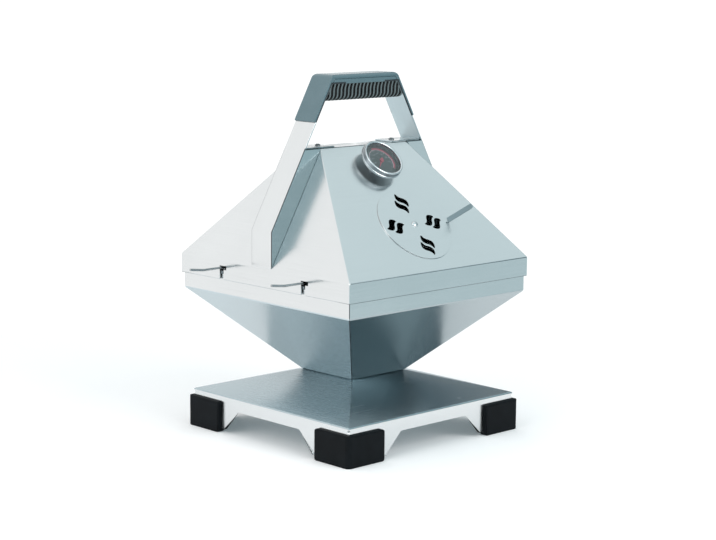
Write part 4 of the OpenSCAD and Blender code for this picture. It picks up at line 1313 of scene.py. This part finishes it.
@dataclass
class Thermometer(SubAssembly):
    """The dial thermometer on the lid's front face."""

    face: LidFace
    bezel_r: float = 30.0 * MM
    lip_r: float = 0.9 * MM
    lip_h: float = 2.0 * MM
    wall_in: float = 1.0 * MM
    wall_turn: float = 0.5
    front_r: float = 1.6 * MM
    inside: tuple[Point, ...] = ((0.9 * MM, 0.2 * MM), (0.25 * MM, 0.7 * MM))
    window_edge: float = 0.3 * MM
    sight_r: float = 25.5 * MM
    bore_r: float = 28.6 * MM
    rear_z: float = 10.0 * MM
    window_z: float = 16.5 * MM
    front_z: float = 18.0 * MM
    dial_z: float = 10.0 * MM
    print_lift: float = 0.06 * MM
    scale_r: float = 18.5 * MM
    rim_band: Point = (3.3 * MM, 8.0 * MM)
    hot_band: Point = (0.5 * MM, 2.9 * MM)
    scale_line: Point = (-0.4 * MM, 0.4 * MM)
    first: float = 225.0
    last: float = -45.0
    hot_from: float = 105.0
    marks: int = 27
    long_every: int = 3
    long_mark: Point = (1.1, 3.4 * MM)
    short_mark: Point = (0.6, 1.9 * MM)
    mark_gap: float = 0.8 * MM
    numeral_r: float = 12.2 * MM
    numeral_size: float = 2.9 * MM
    numerals: tuple[str, ...] = ("50", "100", "150", "200", "250", "300", "350")

    def build(self) -> None:
        """Turns the bezel, prints the dial and dresses the rest."""
        bezel = mesh_piece("gauge_bezel_rolled", lathe(self.bezel_profile(), steps=128), SHARP_TURNED)
        self.put(bezel, BRIGHT, "bright_steel", "gauge_bezel")
        axis = self.face.place(self.face.gauge_up).col[2].xyz
        # The bezel's outer wall gets painted shade.
        self.zone(bezel, BEZEL_WALL_SHADE, lambda face: abs(face.normal.dot(axis)) < self.wall_turn)
        for name, band, start, end, finish in (
            # The dark rim band is painted shade under the bezel; the other two bands are print.
            ("dial_dark_rim", self.rim_band, 0.0, 360.0, DIAL_RIM_SHADE),
            ("dial_hot_band", self.hot_band, self.last, self.hot_from, RED),
            ("dial_scale_line", self.scale_line, self.last, self.first, PINK),
        ):
            self.put(self.printed(name, band, start, end), finish, "dial_paint")
        self.put(self.scale_marks(), PALE_PRINT, "dial_paint")
        self.dress(PLAIN, "gauge_stem", "gauge_nut")
        self.dress(CASE, "gauge_case")
        self.dress(DIAL, "gauge_dial")
        self.dress(RED, "gauge_pointer")
        self.dress(GLASS, "gauge_lens")

    def put(self, piece: Piece, finish: Finish, slot: str, *replaced: str) -> None:
        """Lays a piece that was made round the Z axis on the face."""
        piece.data.transform(self.face.place(self.face.gauge_up))
        self.take(piece, finish, "lid", slot, *replaced)

    def bezel_profile(self) -> list[Point]:
        """The bezel's section: a rolled rear lip, a wall and a rounded front ring."""
        wall = self.bezel_r - self.wall_in
        lip = arc(self.bezel_r - self.lip_r, self.rear_z + self.lip_r, self.lip_r, range(-90, 91, 30))
        front = arc(wall - self.front_r, self.front_z - self.front_r, self.front_r, range(0, 91, 15))
        inside = [(self.sight_r + out, self.front_z - back) for out, back in self.inside]
        return [
            (self.bore_r, self.rear_z), *lip, (wall, self.rear_z + self.lip_h), *front, *inside,
            (self.sight_r, self.window_z + self.window_edge), (self.sight_r, self.window_z),
            (self.bore_r, self.window_z),
        ]

    def printed(self, name: str, band: Point, start: float, end: float) -> Piece:
        """A band printed along the scale.

        Args:
            name: The piece's name.
            band: Start and end of the band, outwards from the scale's radius.
            start: First angle in degrees.
            end: Last angle in degrees.

        Returns:
            The piece, round the Z axis.
        """
        work = bmesh.new()
        inner, outer = (self.scale_r + offset for offset in band)
        arc_band(work, inner, outer, start, end, self.dial_z + self.print_lift)
        return mesh_piece(name, work)

    def scale_marks(self) -> Piece:
        """The scale's marks and plain numerals."""
        work = bmesh.new()
        level, outer = self.dial_z + self.print_lift, self.scale_r - self.mark_gap
        for i in range(self.marks + 1):
            angle = self.first + (self.last - self.first) * i / self.marks
            width, reach = self.short_mark if i % self.long_every else self.long_mark
            arc_band(work, outer - reach, outer, angle - width, angle + width, level)
        marks = mesh_piece("dial_marks", work)
        for i, text in enumerate(self.numerals):
            angle = math.radians(self.first + (self.last - self.first) * (i + 1) / (len(self.numerals) + 1))
            across, up = self.numeral_r * math.cos(angle), self.numeral_r * math.sin(angle)
            self._numeral(marks, text, Vector((across, up, level)))
        return marks

    def _numeral(self, marks: Piece, text: str, place: Vector) -> None:
        """Adds one flat numeral to the marks' mesh."""
        curve = bpy.data.curves.new("numeral", "FONT")
        curve.body, curve.size = text, self.numeral_size
        curve.align_x, curve.align_y = "CENTER", "CENTER"
        letter = bpy.data.objects.new("numeral", curve)
        bpy.context.scene.collection.objects.link(letter)
        bpy.context.view_layer.update()
        flat = bpy.data.meshes.new_from_object(letter.evaluated_get(bpy.context.evaluated_depsgraph_get()))
        flat.transform(Matrix.Translation(place))
        work = bmesh.new()
        work.from_mesh(marks.data)
        work.from_mesh(flat)
        work.to_mesh(marks.data)
        work.free()
        bpy.data.meshes.remove(flat)
        bpy.data.objects.remove(letter)
        bpy.data.curves.remove(curve)


@dataclass
class Damper(SubAssembly):
    """The turning damper on the lid's front face."""

    face: LidFace
    edge: float = 0.22 * MM
    disc_r: float = 56.0 * MM
    slots_between: Point = (8.0 * MM, 53.0 * MM)
    widened: float = 1.0 * MM
    grain_centre: Place = (0.0, 0.0, 300 * MM)
    grain_size: Place = (165 * MM, 165 * MM, 90 * MM)
    shank_r: float = 2.5 * MM
    head_r: float = 4.5 * MM
    head_h: float = 2.0 * MM
    head_z: float = 1.3 * MM
    tail_z: float = -2.2 * MM

    def build(self) -> None:
        """Rounds the disc's edges and turns its rivet."""
        place, softening = self.face.place(self.face.damper_up), Softening(self.edge)
        disc = self.soften("damper_disc", softening, SHEET, "damper", "sheet_steel", self.widen_slots)
        to_face = place.inverted()
        # The lever, past the disc's edge, gets painted shade.
        self.zone(disc, SHADE_SHEET, lambda face: (to_face @ face.center).xy.length > self.disc_r)
        disc.data.use_auto_texspace = False
        disc.data.texspace_location, disc.data.texspace_size = self.grain_centre, self.grain_size
        head = dome(self.head_r, 0.0, self.head_h)
        tail = [(r, self.tail_z - z) for r, z in reversed(head)]
        front = [(r, self.head_z + z) for r, z in head]
        profile = [*tail, (self.shank_r, self.tail_z), (self.shank_r, self.head_z), *front]
        rivet = mesh_piece("damper_rivet_domed", lathe(profile, steps=64), SHARP_TURNED)
        rivet.data.transform(place)
        self.take(rivet, BRIGHT, "lid", "bright_steel", "damper_rivet")
        self.dress(PLAIN, "damper_washer")

    def widen_slots(self, work: Mesh) -> None:
        """Moves the slots' walls apart."""
        place = self.face.place(self.face.damper_up)
        to_face, axis = place.inverted(), place.col[2].xyz
        work.normal_update()
        inner, outer = self.slots_between
        for vert in work.verts:
            if inner < (to_face @ vert.co).xy.length < outer:
                into_slot = vert.normal - axis * vert.normal.dot(axis)
                vert.co -= into_slot.normalized() * self.widened


@dataclass(frozen=True)
class Softbox:
    """A square studio lamp that looks at a point."""

    name: str
    place: Place
    size: float
    watts: float
    aim: Place = (0.0, 0.0, 0.25)

    def build(self) -> None:
        """Makes the lamp."""
        data = bpy.data.lights.new(self.name, "AREA")
        data.size, data.energy = self.size, self.watts
        lamp = bpy.data.objects.new(self.name, data)
        lamp.location = self.place
        lamp.rotation_mode = "QUATERNION"
        lamp.rotation_quaternion = (Vector(self.aim) - Vector(self.place)).to_track_quat("-Z", "Y")
        bpy.context.scene.collection.objects.link(lamp)


@dataclass(frozen=True)
class Studio:
    """A white table top, a soft dome of light and two softboxes."""

    floor_r: float = 0.85
    bright: Colour = (1.10, 1.11, 1.11)
    cool: Colour = (0.66, 0.83, 0.87)
    dim: Colour = (0.06, 0.11, 0.14)
    bright_from: Place = (-0.25, 0.95, 0.1)
    bright_over: Point = (-0.6, 0.7)
    band_low: Point = (0.08, 0.24)
    band_high: Point = (0.46, 0.62)
    band_right: Point = (0.53, 0.65)
    band_tilt: Point = (0.12, 0.2)
    front_over: Point = (-0.6, -0.2)
    front_shade: float = 0.2
    boxes: tuple[Softbox, ...] = (
        Softbox("front_box", (0.27, -2.3, 1.6), 1.5, 28.0),
        Softbox("left_box", (-2.4, -0.27, 1.38), 1.6, 15.0),
    )

    def build(self) -> None:
        """Makes the floor, the dome and the lamps."""
        work = bmesh.new()
        bmesh.ops.create_circle(work, cap_ends=True, segments=96, radius=self.floor_r)
        floor = mesh_piece("studio_floor", work)
        floor.data.materials.append(StudioFloor("studio_table_white").material())
        self.dome()
        for box in self.boxes:
            box.build()
        bpy.context.scene.view_settings.view_transform = "Standard"

    def dome(self) -> None:
        """A pale surround, brightest behind, with a dim band on the right and a slight shade in front."""
        world = bpy.data.worlds.new("studio_dome")
        world.use_nodes = True
        bpy.context.scene.world = world
        recipe = Recipe(world.node_tree)
        towards = recipe.place("Generated")
        inputs = {0: towards, 1: Vector(self.bright_from).normalized()}
        facing = recipe.node("ShaderNodeVectorMath", {"operation": "DOT_PRODUCT"}, inputs, output="Value")
        colour = recipe.mix(facing.eased(*self.bright_over), self.cool, self.bright)
        right, back, rise = (recipe.part(towards, axis) for axis in "XYZ")
        low, high = (rise - back * tilt for tilt in self.band_tilt)
        band = low.eased(*self.band_low) * (1.0 - high.eased(*self.band_high)) * right.eased(*self.band_right)
        front = (1.0 - back.eased(*self.front_over)) * self.front_shade
        colour = recipe.mix(band.most(front), colour, self.dim)
        recipe.finish(recipe.node("ShaderNodeBackground", inputs={"Color": colour, "Strength": 1.0}))


@dataclass(frozen=True)
class PhotoCamera:
    """The camera at the photograph's viewing angle."""

    yaw: float = -43.845
    pitch: float = 9.371
    roll: float = 0.49
    focal_px: float = 1892.3
    distance: float = 2552.9 * MM
    aside: float = 5.384 * MM
    target_z: float = 216.583 * MM
    sensor: float = 36.0
    clip: Point = (0.05, 100.0)

    def build(self) -> None:
        """Makes the camera and makes it the scene's own."""
        yaw, pitch, roll = (math.radians(a) for a in (self.yaw, self.pitch, self.roll))
        back = Vector((math.sin(yaw) * math.cos(pitch), -math.cos(yaw) * math.cos(pitch), math.sin(pitch)))
        level = Vector((math.cos(yaw), math.sin(yaw), 0.0))
        upright = back.cross(level)
        right = level * math.cos(roll) + upright * math.sin(roll)
        up = upright * math.cos(roll) - level * math.sin(roll)
        target = Vector((0.0, 0.0, self.target_z)) + right * self.aside
        data = bpy.data.cameras.new("photo_camera")
        data.sensor_width = self.sensor
        data.lens = self.focal_px * self.sensor / IMAGE_WIDTH
        data.clip_start, data.clip_end = self.clip
        camera = bpy.data.objects.new("photo_camera", data)
        turn = Matrix((right, up, back)).transposed().to_4x4()
        camera.matrix_world = Matrix.Translation(target + back * self.distance) @ turn
        bpy.context.scene.collection.objects.link(camera)
        bpy.context.scene.camera = camera


def corners(box: tuple[Vector, Vector]) -> list[list[float]]:
    """A box as plain lists of numbers."""
    return [list(corner) for corner in box]


def main() -> None:
    """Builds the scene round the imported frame."""
    logging.basicConfig(level=logging.INFO, format="%(name)s: %(message)s")
    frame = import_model()
    PhotoCamera().build()
    Studio().build()
    face = LidFace()
    groups = [
        Base(frame), Bowl(frame), Latches(frame), Lid(frame, face), Handle(frame),
        RibbedInsert(frame, face), Thermometer(frame, face), Damper(frame, face),
    ]
    for group in groups:
        group.build()


if __name__ == "__main__":
    main()
